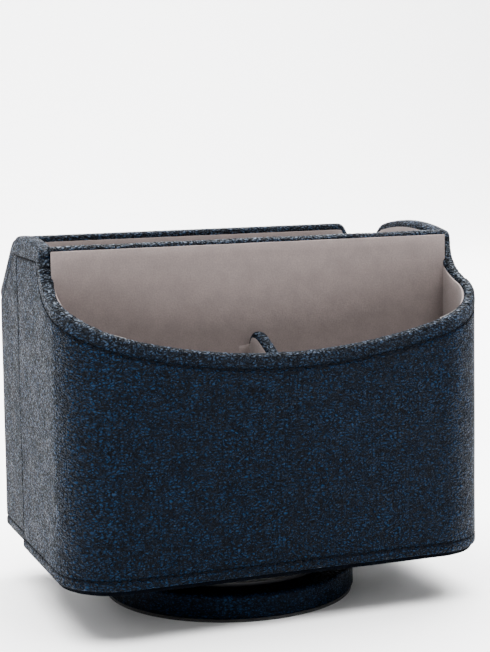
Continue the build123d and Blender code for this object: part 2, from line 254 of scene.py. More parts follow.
def select_faces(obj, wanted):
    """Selects in edit mode the faces for which wanted(face) is true, and leaves edit mode on."""
    pick(obj)
    bpy.ops.object.mode_set(mode="EDIT")
    bpy.ops.mesh.select_mode(type="FACE")
    bpy.ops.mesh.select_all(action="DESELECT")
    bpy.ops.object.mode_set(mode="OBJECT")
    for face in obj.data.polygons:
        face.select = bool(wanted(face))
    bpy.ops.object.mode_set(mode="EDIT")


def lay_sheet(name, spots, across, along, drop=None, masks=None):
    """A grid primitive laid over the given spots.

    spots is rows x columns x 3 in metres. across and along are each vertex's own distances
    on the sheet, kept as its UV map. drop(row, column) says which faces are cut away, and
    masks holds a value for each vertex under each attribute's name."""
    rows, columns = spots.shape[:2]
    clear_selection()
    bpy.ops.mesh.primitive_grid_add(
        x_subdivisions=columns - 1, y_subdivisions=rows - 1, size=1.0, calc_uvs=True)
    obj = bpy.context.object
    obj.name = obj.data.name = name
    mesh = obj.data
    if len(mesh.vertices) != rows * columns:
        raise RuntimeError(f"{name}: the grid has {len(mesh.vertices)} vertices")
    mesh.vertices.foreach_set("co", spots.reshape(-1).astype(np.float32))
    corner = np.zeros(len(mesh.loops), np.int32)
    mesh.loops.foreach_get("vertex_index", corner)
    flat = np.stack([np.broadcast_to(across, (rows, columns)),
                     np.broadcast_to(along, (rows, columns))], -1).reshape(-1, 2)
    mesh.uv_layers[0].data.foreach_set("uv", flat[corner].reshape(-1).astype(np.float32))
    mesh.uv_layers[0].name = "Sheet"
    for label, values in (masks or {}).items():
        layer = mesh.attributes.new(label, "FLOAT", "POINT")
        layer.data.foreach_set("value", values.reshape(-1).astype(np.float32))
    mesh.update()
    if drop is not None:
        cells = np.zeros((rows - 1, columns - 1), bool)
        for i in range(rows - 1):
            for j in range(columns - 1):
                cells[i, j] = drop(i, j)
        flags = cells.reshape(-1)
        select_faces(obj, lambda face: flags[face.index])
        bpy.ops.mesh.delete(type="FACE")
        bpy.ops.object.mode_set(mode="OBJECT")
    return obj


def apply_modifiers(obj):
    pick(obj)
    for modifier in list(obj.modifiers):
        bpy.ops.object.modifier_apply(modifier=modifier.name)


def round_edges(obj, width, segments, degrees):
    bevel = obj.modifiers.new("Edge", "BEVEL")
    bevel.width = width
    bevel.segments = segments
    bevel.limit_method = "ANGLE"
    bevel.angle_limit = math.radians(degrees)


def close_sheet(obj, thickness, outward, edge=0.0):
    """Merges doubled points, gives the sheet its thickness inwards and rounds its cut edges.

    outward(point) is a direction that the face at that point looks in."""
    edit_all(obj)
    bpy.ops.mesh.remove_doubles(threshold=MERGE)
    bpy.ops.object.mode_set(mode="OBJECT")
    face = obj.data.polygons[len(obj.data.polygons) // 2]
    if Vector(face.normal).dot(Vector(outward(face.center))) < 0:
        edit_all(obj)
        bpy.ops.mesh.flip_normals()
        bpy.ops.object.mode_set(mode="OBJECT")
    solid = obj.modifiers.new("Thickness", "SOLIDIFY")
    solid.thickness = thickness
    solid.offset = -1.0
    solid.use_even_offset = False
    if edge:
        round_edges(obj, edge, 2, 50)
    apply_modifiers(obj)
    pick(obj)
    bpy.ops.object.shade_smooth_by_angle(angle=math.radians(55))
    return obj


def finish_piece(obj, material, slot, body, *nodes):
    """Gives a piece its finish and body, and hides the CAD nodes it stands for. slot is not used.
    """
    obj.data.materials.clear()
    obj.data.materials.append(material)
    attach(obj, body)
    if nodes:
        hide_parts(*nodes)
    return obj


def spin_profile(name, profile, steps=160):
    """Draws a profile of (radius, height) by extruding one vertex, then spins it about Z."""
    clear_selection()
    bpy.ops.mesh.primitive_plane_add(size=MM, location=(0, 0, 0))
    obj = bpy.context.object
    obj.name = obj.data.name = name
    bpy.ops.object.mode_set(mode="EDIT")
    bpy.ops.mesh.select_mode(type="VERT")
    bpy.ops.mesh.select_all(action="SELECT")
    bpy.ops.mesh.merge(type="CENTER")
    bpy.ops.mesh.select_all(action="SELECT")
    r, z = profile[0]
    bpy.ops.transform.translate(value=(r, 0, z))
    for r_next, z_next in profile[1:]:
        bpy.ops.mesh.extrude_region_move(
            TRANSFORM_OT_translate={"value": (r_next - r, 0, z_next - z)})
        r, z = r_next, z_next
    bpy.ops.mesh.select_all(action="SELECT")
    bpy.ops.mesh.spin(steps=steps, angle=2 * math.pi, center=(0, 0, 0), axis=(0, 0, 1))
    bpy.ops.mesh.select_all(action="SELECT")
    bpy.ops.mesh.remove_doubles(threshold=MERGE)
    bpy.ops.mesh.normals_make_consistent(inside=False)
    bpy.ops.object.mode_set(mode="OBJECT")
    pick(obj)
    bpy.ops.object.shade_smooth_by_angle(angle=math.radians(50))
    return obj


# ---- curves of the rims, all in the sheet's own flat coordinates


def ripple(a, b, seed):
    """Slow uneven swell of a hand-laid sheet, between about -1 and 1.

    It adds five waves, each of its own length along a and b."""
    total = 0
    for k in range(5):
        f = 55 + 47 * k + 13 * seed
        g = 70 + 31 * ((k * 3 + seed) % 5)
        total = total + np.sin(a * f + b * g * 0.7 + k * 1.7 + seed) / (k + 1.6)
    return total / 1.6


def dense(*parts):
    """Joins runs of points and drops the repeats."""
    points = np.concatenate([np.asarray(p, float) for p in parts])
    keep = np.r_[True, np.linalg.norm(np.diff(points, axis=0), axis=1) > 1e-7]
    return points[keep]


def resample(points, spacing):
    """Points along a line, at a spacing that spacing(point) gives."""
    steps = np.linalg.norm(np.diff(points, axis=0), axis=1)
    run = np.r_[0, np.cumsum(steps)]
    at, places = 0.0, [0.0]
    while at < run[-1]:
        here = np.array([np.interp(at, run, points[:, k]) for k in range(points.shape[1])])
        at += spacing(here)
        places.append(at)
    places = np.array(places) * run[-1] / places[-1]
    return np.stack([np.interp(places, run, points[:, k])
                     for k in range(points.shape[1])], -1), places


def soften(values, rounds):
    """Evens out a run of values or points, and leaves its two ends."""
    values = values.copy()
    for _ in range(rounds):
        values[1:-1] = values[1:-1] * 0.5 + (values[:-2] + values[2:]) * 0.25
    return values


def normals_up(points):
    """Unit normals of a line in its own plane, on its left, which is up for a line to the right."""
    ahead = np.gradient(points, axis=0)
    ahead /= np.linalg.norm(ahead, axis=1)[:, None]
    ahead = soften(ahead, 3)
    ahead /= np.linalg.norm(ahead, axis=1)[:, None]
    return np.stack([-ahead[:, 1], ahead[:, 0]], -1)


def arc_points(centre, radius, first, last, count):
    a = np.radians(np.linspace(first, last, count))
    return np.stack([centre[0] + radius * np.cos(a), centre[1] + radius * np.sin(a)], -1)


def circle_through(a, b, c, count):
    """Points on the arc from a to c through b."""
    ax, ay, bx, by, cx, cy = *a, *b, *c
    d = 2 * (ax * (by - cy) + bx * (cy - ay) + cx * (ay - by))
    a2, b2, c2 = ax**2 + ay**2, bx**2 + by**2, cx**2 + cy**2
    ux = (a2 * (by - cy) + b2 * (cy - ay) + c2 * (ay - by)) / d
    uy = (a2 * (cx - bx) + b2 * (ax - cx) + c2 * (bx - ax)) / d
    first = math.atan2(ay - uy, ax - ux)
    last = math.atan2(cy - uy, cx - ux)
    t = np.linspace(first, last, count)
    r = math.hypot(ax - ux, ay - uy)
    return np.stack([ux + r * np.cos(t), uy + r * np.sin(t)], -1)


class Shell:
    """Plan and rim of the front shell; its sheet coordinates are the run from the middle and z."""

    def __init__(self):
        s = sizes()
        self.radius = s.corner
        self.flat = HALF - s.corner
        self.bend = s.corner * math.pi / 2
        self.side = self.flat + self.bend
        self.corner_y = FRONT + s.corner
        self.seam = self.side + SEAM - self.corner_y
        self.fold = 1.0 * MM
        self.rear_step = HALF - REAR_HALF

    def run_at(self, y):
        return self.side + y - self.corner_y

    def y_at(self, run):
        return self.corner_y + run - self.side

    def plan(self, run):
        """Place of the outer face in plan, from the middle, and its outward direction."""
        a, sign = np.abs(run), np.where(run < 0, -1.0, 1.0)
        angle = np.clip((a - self.flat) / self.radius, 0, math.pi / 2)
        x = np.minimum(a, self.flat) + self.radius * np.sin(angle)
        y = FRONT + self.radius * (1 - np.cos(angle)) + np.maximum(a - self.side, 0)
        return sign * x, y, sign * np.sin(angle), -np.cos(angle)

    def place(self, run, z, depth, folded=None):
        """Points in the frame. folded is the share by which the seam's fold turns the sheet in."""
        run = np.asarray(run, float)
        x, y, nx, ny = self.plan(run)
        if folded is not None:
            over = np.maximum(np.abs(run) - (self.seam - self.fold), 0)
            angle = np.minimum(over / self.fold, math.pi / 2)
            inward = self.fold * (1 - np.cos(angle)) + np.maximum(over - self.fold * math.pi / 2, 0)
            y_fold = SEAM - self.fold + self.fold * np.sin(angle)
            bent = (over > 0) * folded
            y = y + bent * (y_fold - y)
            depth = depth + bent * inward
        return np.stack([MIDDLE + x - nx * depth, y - ny * depth, np.broadcast_to(z, x.shape)], -1)

    def rim(self):
        """Right half of the rim, from the middle of the front to the rear corner."""
        s = sizes()
        z_straight = s.rim_dip + s.front_rise
        z_corner = z_straight + s.corner_rise
        slope = s.corner_rise / s.corner / 2
        r = (self.flat**2 + s.front_rise**2) / (2 * s.front_rise)
        x = np.linspace(0, self.flat, 120)
        front = np.stack([x, s.rim_dip + r - np.sqrt(r * r - x * x)], -1)
        angle = np.linspace(0, math.pi / 2, 80)
        corner = np.stack([self.flat + angle * s.corner, z_straight + slope * s.corner * (
            np.sin(angle) + 1 - np.cos(angle))], -1)
        step = self.run_at(MID_FRONT + STEP_BACK)
        p0 = np.array([self.side, z_corner])
        p3 = np.array([step, Z_SIDE - STEP_ROUND])
        run = (step - self.side) * SWEEP_START
        p1 = p0 + np.array([run, run * slope])
        p2 = np.array([step, p0[1] + SWEEP_END * (p3[1] - p0[1])])
        t = np.linspace(0, 1, 120)[:, None]
        sweep = (1-t)**3 * p0 + 3*(1-t)**2 * t * p1 + 3*(1-t) * t**2 * p2 + t**3 * p3
        turn = arc_points((step + STEP_ROUND, Z_SIDE - STEP_ROUND), STEP_ROUND, 180, 90, 24)
        crown = (self.run_at(CROWN_Y), Z_CROWN)
        slant_start = np.array([self.run_at(SLANT_Y), Z_SLANT])
        slant_end = np.array([self.run_at(BACK), Z_SLANT_END])
        arch = circle_through((step + STEP_ROUND, Z_SIDE), crown, tuple(slant_start), 160)
        down = slant_start + (slant_end - slant_start) * np.linspace(0, 1, 80)[:, None]
        near = soften(dense(arch[-50:], down), 80)
        return dense(front, corner, sweep, turn, arch[:-50], near)


def roll_rows(count=13, power=2.35):
    """Rows over a roll: height under its crest as a share of the roll, and share of the wall."""
    angle = np.linspace(0, math.pi, count)
    up = np.sin(angle) ** (2 / power)
    over = (1 - np.sign(np.cos(angle)) * np.abs(np.cos(angle)) ** (2 / power)) / 2
    return list(zip(up, over))


def stitch_line(rim, normal, inset, ceiling):
    """Line of the top stitching, inset from the rim and not above a ceiling height."""
    raw = rim - normal * inset
    raw[:, 1] = np.minimum(raw[:, 1], ceiling)
    raw[:, 0] = np.maximum.accumulate(raw[:, 0])
    smooth = soften(raw, 30)
    smooth[:, 0] = np.maximum.accumulate(smooth[:, 0])
    return smooth


def valley(distance, width):
    """1 on a line, and less the farther a point is from it."""
    return np.exp(-((distance / width) ** 2))


def uneven(run, seed):
    """Wrinkles of uneven width along an edge, between -1 and 1."""
    return np.sin(run * 2 * math.pi / (2.3 * MM) + 2.2 * np.sin(run * (410 + 30 * seed))
                  + 1.3 * np.sin(run * (977 - 60 * seed)))


# ---- leather of the front shell and side tops


def shell_columns():
    """Columns of the front shell's sheet: rim points, normals and stitch line, left to right."""
    shell = Shell()

    def spacing(p):
        """Wide on the flat front, closer on the sweep and closest at the side seam."""
        y = shell.y_at(p[0])
        if p[0] < shell.flat - 4 * MM:
            return 1.15 * MM
        if p[1] < 0.150:
            return 0.85 * MM
        if SEAM - 3.1 * MM < y < SEAM + 2.6 * MM:
            return 0.33 * MM
        return 0.9 * MM

    rim, run = resample(shell.rim(), spacing)
    normal = normals_up(rim)
    normal[0] = (0, 1)
    sewn = stitch_line(rim, normal, sizes().stitch_inset, Z_BAND + 0.1 * MM)
    sewn[0, 0] = 0
    return shell, rim, normal, sewn, run


def band_depth(shell, y):
    """How far the band over a side top steps in behind the seam, to meet the rear box."""
    return soften(shell.rear_step * np.clip((y - SEAM) / SEAM_FADE, 0, 1), 8)


def both_sides(values, flip):
    """Mirrors the right half's columns to the left; flip is -1 for what changes sign."""
    return np.concatenate([(values[:0:-1]) * flip, values])


def normal_between(points):
    """Normals of a line that may stand still for a few points."""
    ahead = np.gradient(points, axis=0)
    length = np.linalg.norm(ahead, axis=1)
    ahead = ahead / np.maximum(length, 1e-9)[:, None]
    ahead = soften(ahead, 8)
    ahead /= np.maximum(np.linalg.norm(ahead, axis=1), 1e-9)[:, None]
    return np.stack([-ahead[:, 1], ahead[:, 0]], -1)


class Rows:
    """Collects the rows of a sheet, which may be the same on its left and right halves.

    place(run, z, depth, folded) gives the points of a row. folded matters only to the front
    shell, whose ends fold in at the seams."""

    def __init__(self, place, run, mirrored=True):
        self.place, self.run, self.mirrored = place, run, mirrored
        self.spots, self.along, self.masks, self.pressed = [], [], [], []

    def full(self, values, flip=1):
        values = np.broadcast_to(values, self.run.shape)
        return both_sides(values, flip) if self.mirrored else values

    def add(self, run, z, depth, folded=0.0, along=None, mask=0.0, pressed=0.0):
        full = self.full
        z = full(z)
        self.spots.append(self.place(full(run, -1), z, full(depth), folded))
        self.along.append(z - Z_WALL if along is None else full(along))
        self.masks.append(full(mask))
        self.pressed.append(full(pressed))

    def sheet(self, name, drop=None, tuck=0.0):
        """Lays the rows; tuck is how strongly the leather is gathered in each column."""
        # Besides the wrinkles, the tuck attribute sets where the leather paints a highlight over
        # the rolls, and pressed sets where it paints shade in the pressed lines.
        return lay_sheet(name, np.stack(self.spots), self.full(self.run, -1)[None, :],
                         np.stack(self.along), drop,
                         {"tuck": np.stack(self.masks) * self.full(tuck)[None, :],
                          "pressed": np.stack(self.pressed)})


def lower_bend():
    """Rise over the walls' lower edge and depth behind their face, round the bend."""
    angles = [math.radians(a) for a in LOWER_BEND]
    return [(EDGE_ROUND * (1 - math.sin(a)), EDGE_ROUND * (1 - math.cos(a))) for a in angles]


def face_levels(top, count):
    """Heights of the rows of an outer face, from over the lower bend up to its top."""
    low = Z_WALL + HEM_ROWS[-1] * MM
    levels = [np.full(top.shape, Z_WALL + h * MM) for h in HEM_ROWS]
    return levels + [low + (top - low) * share for share in np.linspace(0, 1, count)[1:]]


def face_depth(run, z, z_hem, swell, seed):
    """Mark of the hem's line in a row of an outer face, and the row's depth with its swell."""
    mark = valley(z - z_hem, LINE)
    rise = ripple(run, z, seed) * np.clip((z - z_hem) / (6 * MM), 0, 1)
    return mark, mark * LINE - 0.10 * MM * (z < z_hem) + swell * rise


def make_shell_leather(material):
    """Front shell with its rim and the bands over both side tops, in one piece of leather."""
    s = sizes()
    shell, rim, normal, sewn, run = shell_columns()
    y_rim, y_low = shell.y_at(rim[:, 0]), shell.y_at(sewn[:, 0])
    on_side = sewn[:, 0] > shell.side
    outer = band_depth(shell, y_rim)
    inner = np.interp(y_rim, [MID_FRONT - 9 * MM, MID_FRONT - 1 * MM, MID_BACK],
                      [s.pocket_wall, s.pocket_wall + 0.9 * MM, HALF - SLOT_HALF])
    tuck = np.interp(rim[:, 1], [0.119, 0.128, 0.150, 0.156], [0.45, 0.85, 1.0, 0.4])
    tuck = soften(np.where(y_rim > MID_BACK + 2 * MM, 0.25, tuck), 6)
    wobble = uneven(run, 0)
    fine = np.sin(run * 2 * math.pi / (6.1 * MM) + 1.9 * np.sin(run * 263))
    seam_mark = valley(y_low - (SEAM - SEAM_INSET), LINE) * on_side
    seam_press = seam_mark * LINE
    out = Rows(shell.place, run)

    # turned under the wall, then round the lower edge
    z_hem = Z_WALL + s.hem
    plain = sewn[:, 0] < shell.seam - 4 * MM
    for depth in (2.3 * MM, 1.5 * MM):
        out.add(sewn[:, 0], Z_WALL, np.where(plain, depth, EDGE_ROUND), 1.0, -depth)
    for rise, depth in lower_bend():
        out.add(sewn[:, 0], Z_WALL + rise, depth, 1.0)

    # outer face, with the hem line and the seam line pressed in
    for z in face_levels(sewn[:, 1] - 1.3 * MM, 24):
        mark, depth = face_depth(sewn[:, 0], z, z_hem, 0.13 * MM, 2)
        out.add(sewn[:, 0], z, depth + seam_press, 1.0, pressed=np.maximum(mark, seam_mark))
    across = normal_between(sewn)
    for gap, press in ((-0.85, 0.08), (-0.4, 0.3)):
        point = sewn + across * gap * MM
        out.add(sewn[:, 0], point[:, 1], press * MM + seam_press, 1.0,
                pressed=np.maximum(press * 2, seam_mark))
    low_rows = len(out.spots)

    # pressed stitch line, the strip over it, the roll and the lip
    for gap, press in SEWN_ROWS:
        point = sewn + across * gap * MM
        out.add(point[:, 0], point[:, 1], outer + press * MM, mask=0.1, pressed=press * 2)
    start, tangent = point, rim - normal * s.roll
    for share in STRIP_ROWS:
        point = start + (tangent - start) * share
        puff = -0.12 * MM * math.sin(math.pi * share)
        out.add(point[:, 0], point[:, 1], outer + puff + tuck * wobble * 0.07 * MM * share,
                mask=0.1 + 0.2 * share)
    # The mask rises to the roll's top, where the wrinkles are deepest and the painted highlight
    # lies.
    for up, over in roll_rows():
        bump = tuck * (wobble * 0.17 + fine * 0.10 - 0.22) * MM * (0.35 + 0.65 * up)
        point = rim - normal * (s.roll * (1 - up) + (0.10 * MM + bump) * up)[:, None]
        out.add(point[:, 0], point[:, 1], outer + over * (inner - outer)
                + bump * (0.5 - over) * 0.8, mask=0.35 + 0.65 * up ** 2)
    for under in (0.5 * MM, 1.0 * MM, s.lip - s.roll):
        point = rim - normal * (s.roll + under)
        out.add(point[:, 0], point[:, 1], inner, mask=0.35)

    limit = shell.seam + 1.9 * MM
    low_run = both_sides(sewn[:, 0], 1)
    obj = out.sheet("shell_leather", lambda i, j: i < low_rows and min(
        low_run[j], low_run[j + 1]) > limit, tuck)
    close_sheet(obj, s.leather, lambda c: (0, -1, 0) if c.y < FRONT + MM else (
        c.x - MIDDLE, 0, 0))
    return finish_piece(obj, material, "leather", "box", "front_wrap", "side_band_left",
                        "side_band_right")


# ---- leather of the tall rear box


def make_rear_leather(material):
    """Sides and back of the tall box, from its lower hem up to the strips over the rims."""
    s = sizes()
    shell, rim, _, sewn, _ = shell_columns()
    r = 1.7 * MM
    flat, bend = REAR_HALF - r, r * math.pi / 2
    end = flat + bend + BACK - r - (SEAM - 5 * MM)
    stops = np.concatenate([np.linspace(0, flat - 1 * MM, 44), np.linspace(
        flat, flat + bend, 7), np.linspace(flat + bend + 1.2 * MM, end, 26)])

    def place(run, z, depth, folded):
        a, sign = np.abs(run), np.where(run < 0, -1.0, 1.0)
        angle = np.clip((a - flat) / r, 0, math.pi / 2)
        x = np.minimum(a, flat) + r * np.sin(angle)
        y = BACK - r * (1 - np.cos(angle)) - np.maximum(a - flat - bend, 0)
        return np.stack([MIDDLE + sign * (x - np.sin(angle) * depth),
                         y - np.cos(angle) * depth, z], -1)

    spot = place(stops, 0 * stops, 0 * stops, 0)
    x, y = spot[:, 0] - MIDDLE, spot[:, 1]
    back_rim, _, back_sewn, _ = back_columns()
    turned = np.clip((stops - flat) / bend, 0, 1)
    side_sewn = np.interp(y, shell.y_at(sewn[:, 0]), sewn[:, 1])
    side_top = np.interp(y, shell.y_at(rim[:, 0]), rim[:, 1])
    z_sewn = np.interp(x, back_sewn[:, 0], back_sewn[:, 1])
    z_sewn = z_sewn * (1 - turned) + side_sewn * turned
    top = np.minimum(np.interp(x, back_rim[:, 0], back_rim[:, 1]), side_top) - 1.6 * MM
    top = np.maximum(top, z_sewn + 1 * MM)
    top += 0.8 * MM * valley(stops - flat - bend / 2, 4 * MM)      # full up to the corner

    out = Rows(place, stops)
    for depth in (1.5 * MM, 1.2 * MM):
        out.add(stops, Z_WALL, depth, along=-depth)
    for rise, depth in lower_bend():
        out.add(stops, Z_WALL + rise, depth)
    for z in face_levels(z_sewn - 0.5 * MM, 26):
        mark, depth = face_depth(stops, z, Z_WALL + s.hem, 0.12 * MM, 4)
        out.add(stops, z, depth, pressed=mark)
    for up, depth in ((0.2, 0.3), (0.9, 0.45)):
        out.add(stops, z_sewn + up * MM, depth * MM)
    out.add(stops, top, LINE)
    obj = out.sheet("rear_leather")
    close_sheet(obj, s.leather, lambda c: (0, c.y, 0) if c.y > BACK - MM else (
        c.x - MIDDLE, 0, 0))
    return finish_piece(obj, material, "leather", "box", "rear_wrap")


def back_columns():
    """Right half of the back rim: points of (x from the middle, z), normals and stitch line."""
    s = sizes()
    cut = (REAR_HALF - BACK_CUT, Z_BACK)
    level = np.linspace((0, Z_BACK), cut, 160)
    slant = np.linspace(cut, (REAR_HALF - 0.2 * MM, Z_BACK_CUT_END), 60)
    line, _ = resample(dense(level, slant), lambda p: 0.5 * MM)
    rim, run = resample(soften(line, 24), lambda p: 0.95 * MM)
    normal = normals_up(rim)
    sewn = stitch_line(rim, normal, s.stitch_inset, Z_BACK - s.stitch_inset)
    return rim, normal, sewn, run


def strip_rows(out, rim, normal, sewn, outer, inner, tuck, wobble, roll, lip):
    """Rows of a leather strip: from its stitch line, over the roll, to the turned-in lip."""
    if sewn is not None:
        across = normal_between(sewn)
        for gap, press in ((-0.1, 0.6), *SEWN_ROWS):
            point = sewn + across * gap * MM
            out.add(point[:, 0], point[:, 1], outer + press * MM, mask=0.1,
                    pressed=min(press * 2, 1.0))
        start, tangent = point, rim - normal * roll
        for share in STRIP_ROWS:
            point = start + (tangent - start) * share
            puff = -0.12 * MM * math.sin(math.pi * share)
            out.add(point[:, 0], point[:, 1], outer + puff, mask=0.1 + 0.2 * share)
    else:
        for under in (lip - roll, 0.5 * (lip - roll)):
            point = rim - normal * (roll + under)
            out.add(point[:, 0], point[:, 1], outer + 0 * rim[:, 0], mask=0.6)
    for up, over in roll_rows():
        bump = tuck * wobble * 0.13 * MM * (0.35 + 0.65 * up)
        point = rim - normal * (roll * (1 - up) + (0.06 * MM + bump) * up)[:, None]
        out.add(point[:, 0], point[:, 1], outer + over * (inner - outer)
                + bump * (0.5 - over) * 0.8, mask=0.35 + 0.65 * up ** 2)
    for under in (0.4 * (lip - roll), lip - roll):
        point = rim - normal * (roll + under)
        out.add(point[:, 0], point[:, 1], inner + 0 * rim[:, 0], mask=0.6)


def make_back_rim(material):
    """Leather strip over the top of the back wall, down to its stitching on the outside."""
    s = sizes()
    rim, normal, sewn, run = back_columns()

    def place(x, z, depth, folded):
        return np.stack([MIDDLE + x, BACK - depth + 0 * x, z], -1)

    out = Rows(place, run)
    zero = 0 * run
    strip_rows(out, rim, normal, sewn, zero, zero + BACK - SLOT_BACK, zero + 0.35,
               uneven(run, 1), s.roll, s.lip)
    obj = out.sheet("back_rim", tuck=0.4)
    close_sheet(obj, s.leather, lambda c: (0, 0, 1))
    return finish_piece(obj, material, "leather", "box", "rear_binding")


def make_mid_rim(material):
    """Leather rolled over the top of the wall between the pockets and the slot."""
    s = sizes()
    rim, run = resample(np.linspace([0, Z_MID], [HALF - s.pocket_wall + 0.3 * MM, Z_MID], 60),
                        lambda p: 0.8 * MM)
    rim[:, 1] += 0.10 * MM * np.sin(run * 190)
    normal = np.tile([0.0, 1.0], (len(run), 1))

    def place(x, z, depth, folded):
        sway = 0.12 * MM * np.sin(x * 230 + 1)
        return np.stack([MIDDLE + x, MID_FRONT + depth + sway, z], -1)

    out = Rows(place, run)
    zero = 0 * run
    strip_rows(out, rim, normal, None, zero - 0.05 * MM, zero + MID_BACK - MID_FRONT,
               zero + 0.9, uneven(run, 2), 1.9 * MM, 2.5 * MM)
    obj = out.sheet("mid_rim", tuck=0.8)
    close_sheet(obj, BINDING, lambda c: (0, 0, 1))
    return finish_piece(obj, material, "leather", "box", "mid_binding")


# ---- divider


def divider_line(count=60):
    """Top line of the divider from the mid wall to the front: points of (distance forward, z)."""
    s = sizes()
    dip = s.rim_dip
    pocket_front = FRONT + s.pocket_wall
    knots = np.array([(-MID_FRONT, dip), (-MID_FRONT + 5.6 * MM, NOSE_HIGH.z),
                      (-MID_FRONT + 16 * MM, dip + 2.35 * MM), (-pocket_front, dip)])
    chord = np.r_[0, np.cumsum(np.linalg.norm(np.diff(knots, axis=0), axis=1))]
    t = np.linspace(0, chord[-1], count)
    line = np.stack([np.polyval(np.polyfit(chord, knots[:, k], 3), t) for k in (0, 1)], -1)
    line[:, 1] = np.minimum(line[:, 1], NOSE_HIGH.z)
    return resample(soften(line, 3), lambda p: 0.55 * MM)


def make_divider_rim(material):
    """Leather over the top of the divider, with its rounded nose by the mid wall."""
    rim, run = divider_line()
    normal = normals_up(rim)

    def place(forward, z, depth, folded):
        return np.stack([MIDDLE + DIVIDER - DIVIDER_HALF + depth + 0 * forward, -forward, z], -1)

    out = Rows(place, run, mirrored=False)
    zero = 0 * run
    strip_rows(out, rim, normal, None, zero - 0.1 * MM, zero + 2 * DIVIDER_HALF + 0.1 * MM,
               zero + 0.5, uneven(run, 3), 2.0 * MM, 2.6 * MM)
    obj = out.sheet("divider_rim", tuck=0.6)
    close_sheet(obj, BINDING, lambda c: (0, 0, 1))
    return finish_piece(obj, material, "leather", "box", "divider_binding")


def make_divider_lining(side, name, material):
    """Lining of one face of the divider, turned out and glued to the mid wall at its back."""
    turn, flange = 1.3 * MM, 4.6 * MM
    rim, _ = divider_line()
    face = DIVIDER + side * (DIVIDER_HALF + 0.12 * MM)
    wall_y = MID_FRONT - 0.55 * MM
    front_y = FRONT + sizes().pocket_wall
    straight = wall_y - turn - front_y
    bend = turn * math.pi / 2
    run = np.concatenate([
        np.linspace(0, straight, 26), straight + np.linspace(0.3 * MM, bend, 7),
        straight + bend + np.linspace(0.5 * MM, flange - turn, 7)])
    angle = np.clip((run - straight) / turn, 0, math.pi / 2)
    past = np.maximum(run - straight - bend, 0)
    x = face + side * (turn * (1 - np.cos(angle)) + past)
    y = front_y + np.minimum(run, straight) + turn * np.sin(angle)
    dip = sizes().rim_dip
    order = np.argsort(-rim[:, 0])
    top = np.interp(y, -rim[order, 0], rim[order, 1]) - 2.3 * MM
    flange_top = dip - 1.4 * MM
    blend = np.clip((run - straight + 2.0 * MM) / (turn + 2.5 * MM), 0, 1)
    top = top * (1 - blend) + np.minimum(top, flange_top) * blend
    top = np.where(past > 0, flange_top - 0.05 * MM * np.sin(past * 900), top)
    rows = []
    for share in np.linspace(0, 1, 26):
        z = Z_FLOOR + (top - Z_FLOOR) * share
        sway = 0.10 * MM * np.sin(z * 140 + run * 60) * math.sin(math.pi * share)
        rows.append(np.stack([MIDDLE + x + side * sway, y, z], -1))
    spots = np.stack(rows)
    obj = lay_sheet("suede_" + name, spots, run[None, :], spots[:, :, 2])
    close_sheet(obj, LINING, lambda c: (side, 0, 0) if c.y < wall_y - turn else (0, -1, 0),
                edge=0.22 * MM)
    return finish_piece(obj, material, "lining", "box", name)


# ---- linings


def flat_lining(name, origin, facing, stops, top, material, seed):
    """A lining on a flat wall. stops run along the wall from origin, in X or Y.

    top holds the height of its upper edge at each stop. facing is the way it looks."""
    foot = Z_FLOOR - LINING_FOOT
    along_x, along_y = abs(facing[1]), abs(facing[0])
    rows = []

    def add_row(out, z):
        rows.append(np.stack([origin[0] + along_x * stops + facing[0] * out,
                              origin[1] + along_y * stops + facing[1] * out, z], -1))

    for share in np.linspace(0, 1, 34):
        z = foot + (top - foot) * share
        add_row(0.09 * MM * ripple(stops, z, seed) * math.sin(math.pi * share), z)
    for back, rise in LINING_EDGE:
        add_row(-back * MM, top + rise * MM)
    spots = np.stack(rows)
    obj = lay_sheet("suede_" + name, spots, stops[None, :], spots[:, :, 2])
    close_sheet(obj, LINING, lambda c: (*facing, 0))
    return finish_piece(obj, material, "lining", "box", name)


def make_wall_linings(material):
    """Linings of both faces of the mid wall, of the back wall and of the slot's two sides."""
    s = sizes()
    proud = 0.18 * MM
    pocket = np.linspace(-(HALF - s.pocket_wall), HALF - s.pocket_wall, 74)
    slot = np.linspace(-SLOT_HALF, SLOT_HALF, 74)
    z_mid = Z_MID - 2.35 * MM
    flat_lining("mid_lining_front", (MIDDLE, MID_FRONT - 0.5 * MM), (0, -1), pocket,
                z_mid + 0 * pocket, material, 1)
    flat_lining("mid_lining_back", (MIDDLE, MID_BACK + proud), (0, 1), slot,
                z_mid + 0 * slot, material, 2)
    back_rim = back_columns()[0]
    cut_back = np.where(np.abs(slot) > SLOT_HALF - 8 * MM, 3.0 * MM, 0)
    z_back = np.interp(np.abs(slot), back_rim[:, 0], back_rim[:, 1]) - s.lip - cut_back
    flat_lining("slot_lining_back", (MIDDLE, SLOT_BACK - proud), (0, -1), slot,
                z_back + 0.5 * MM, material, 3)
    shell, rim = shell_columns()[:2]
    deep = np.linspace(MID_BACK, SLOT_BACK, 60)
    z_side = np.interp(deep, shell.y_at(rim[:, 0]), rim[:, 1]) - s.lip + 0.4 * MM
    for name, side in (("slot_lining_left", -1), ("slot_lining_right", 1)):
        flat_lining(name, (MIDDLE + side * (SLOT_HALF - proud), 0), (-side, 0), deep,
                    z_side, material, 4 + side)


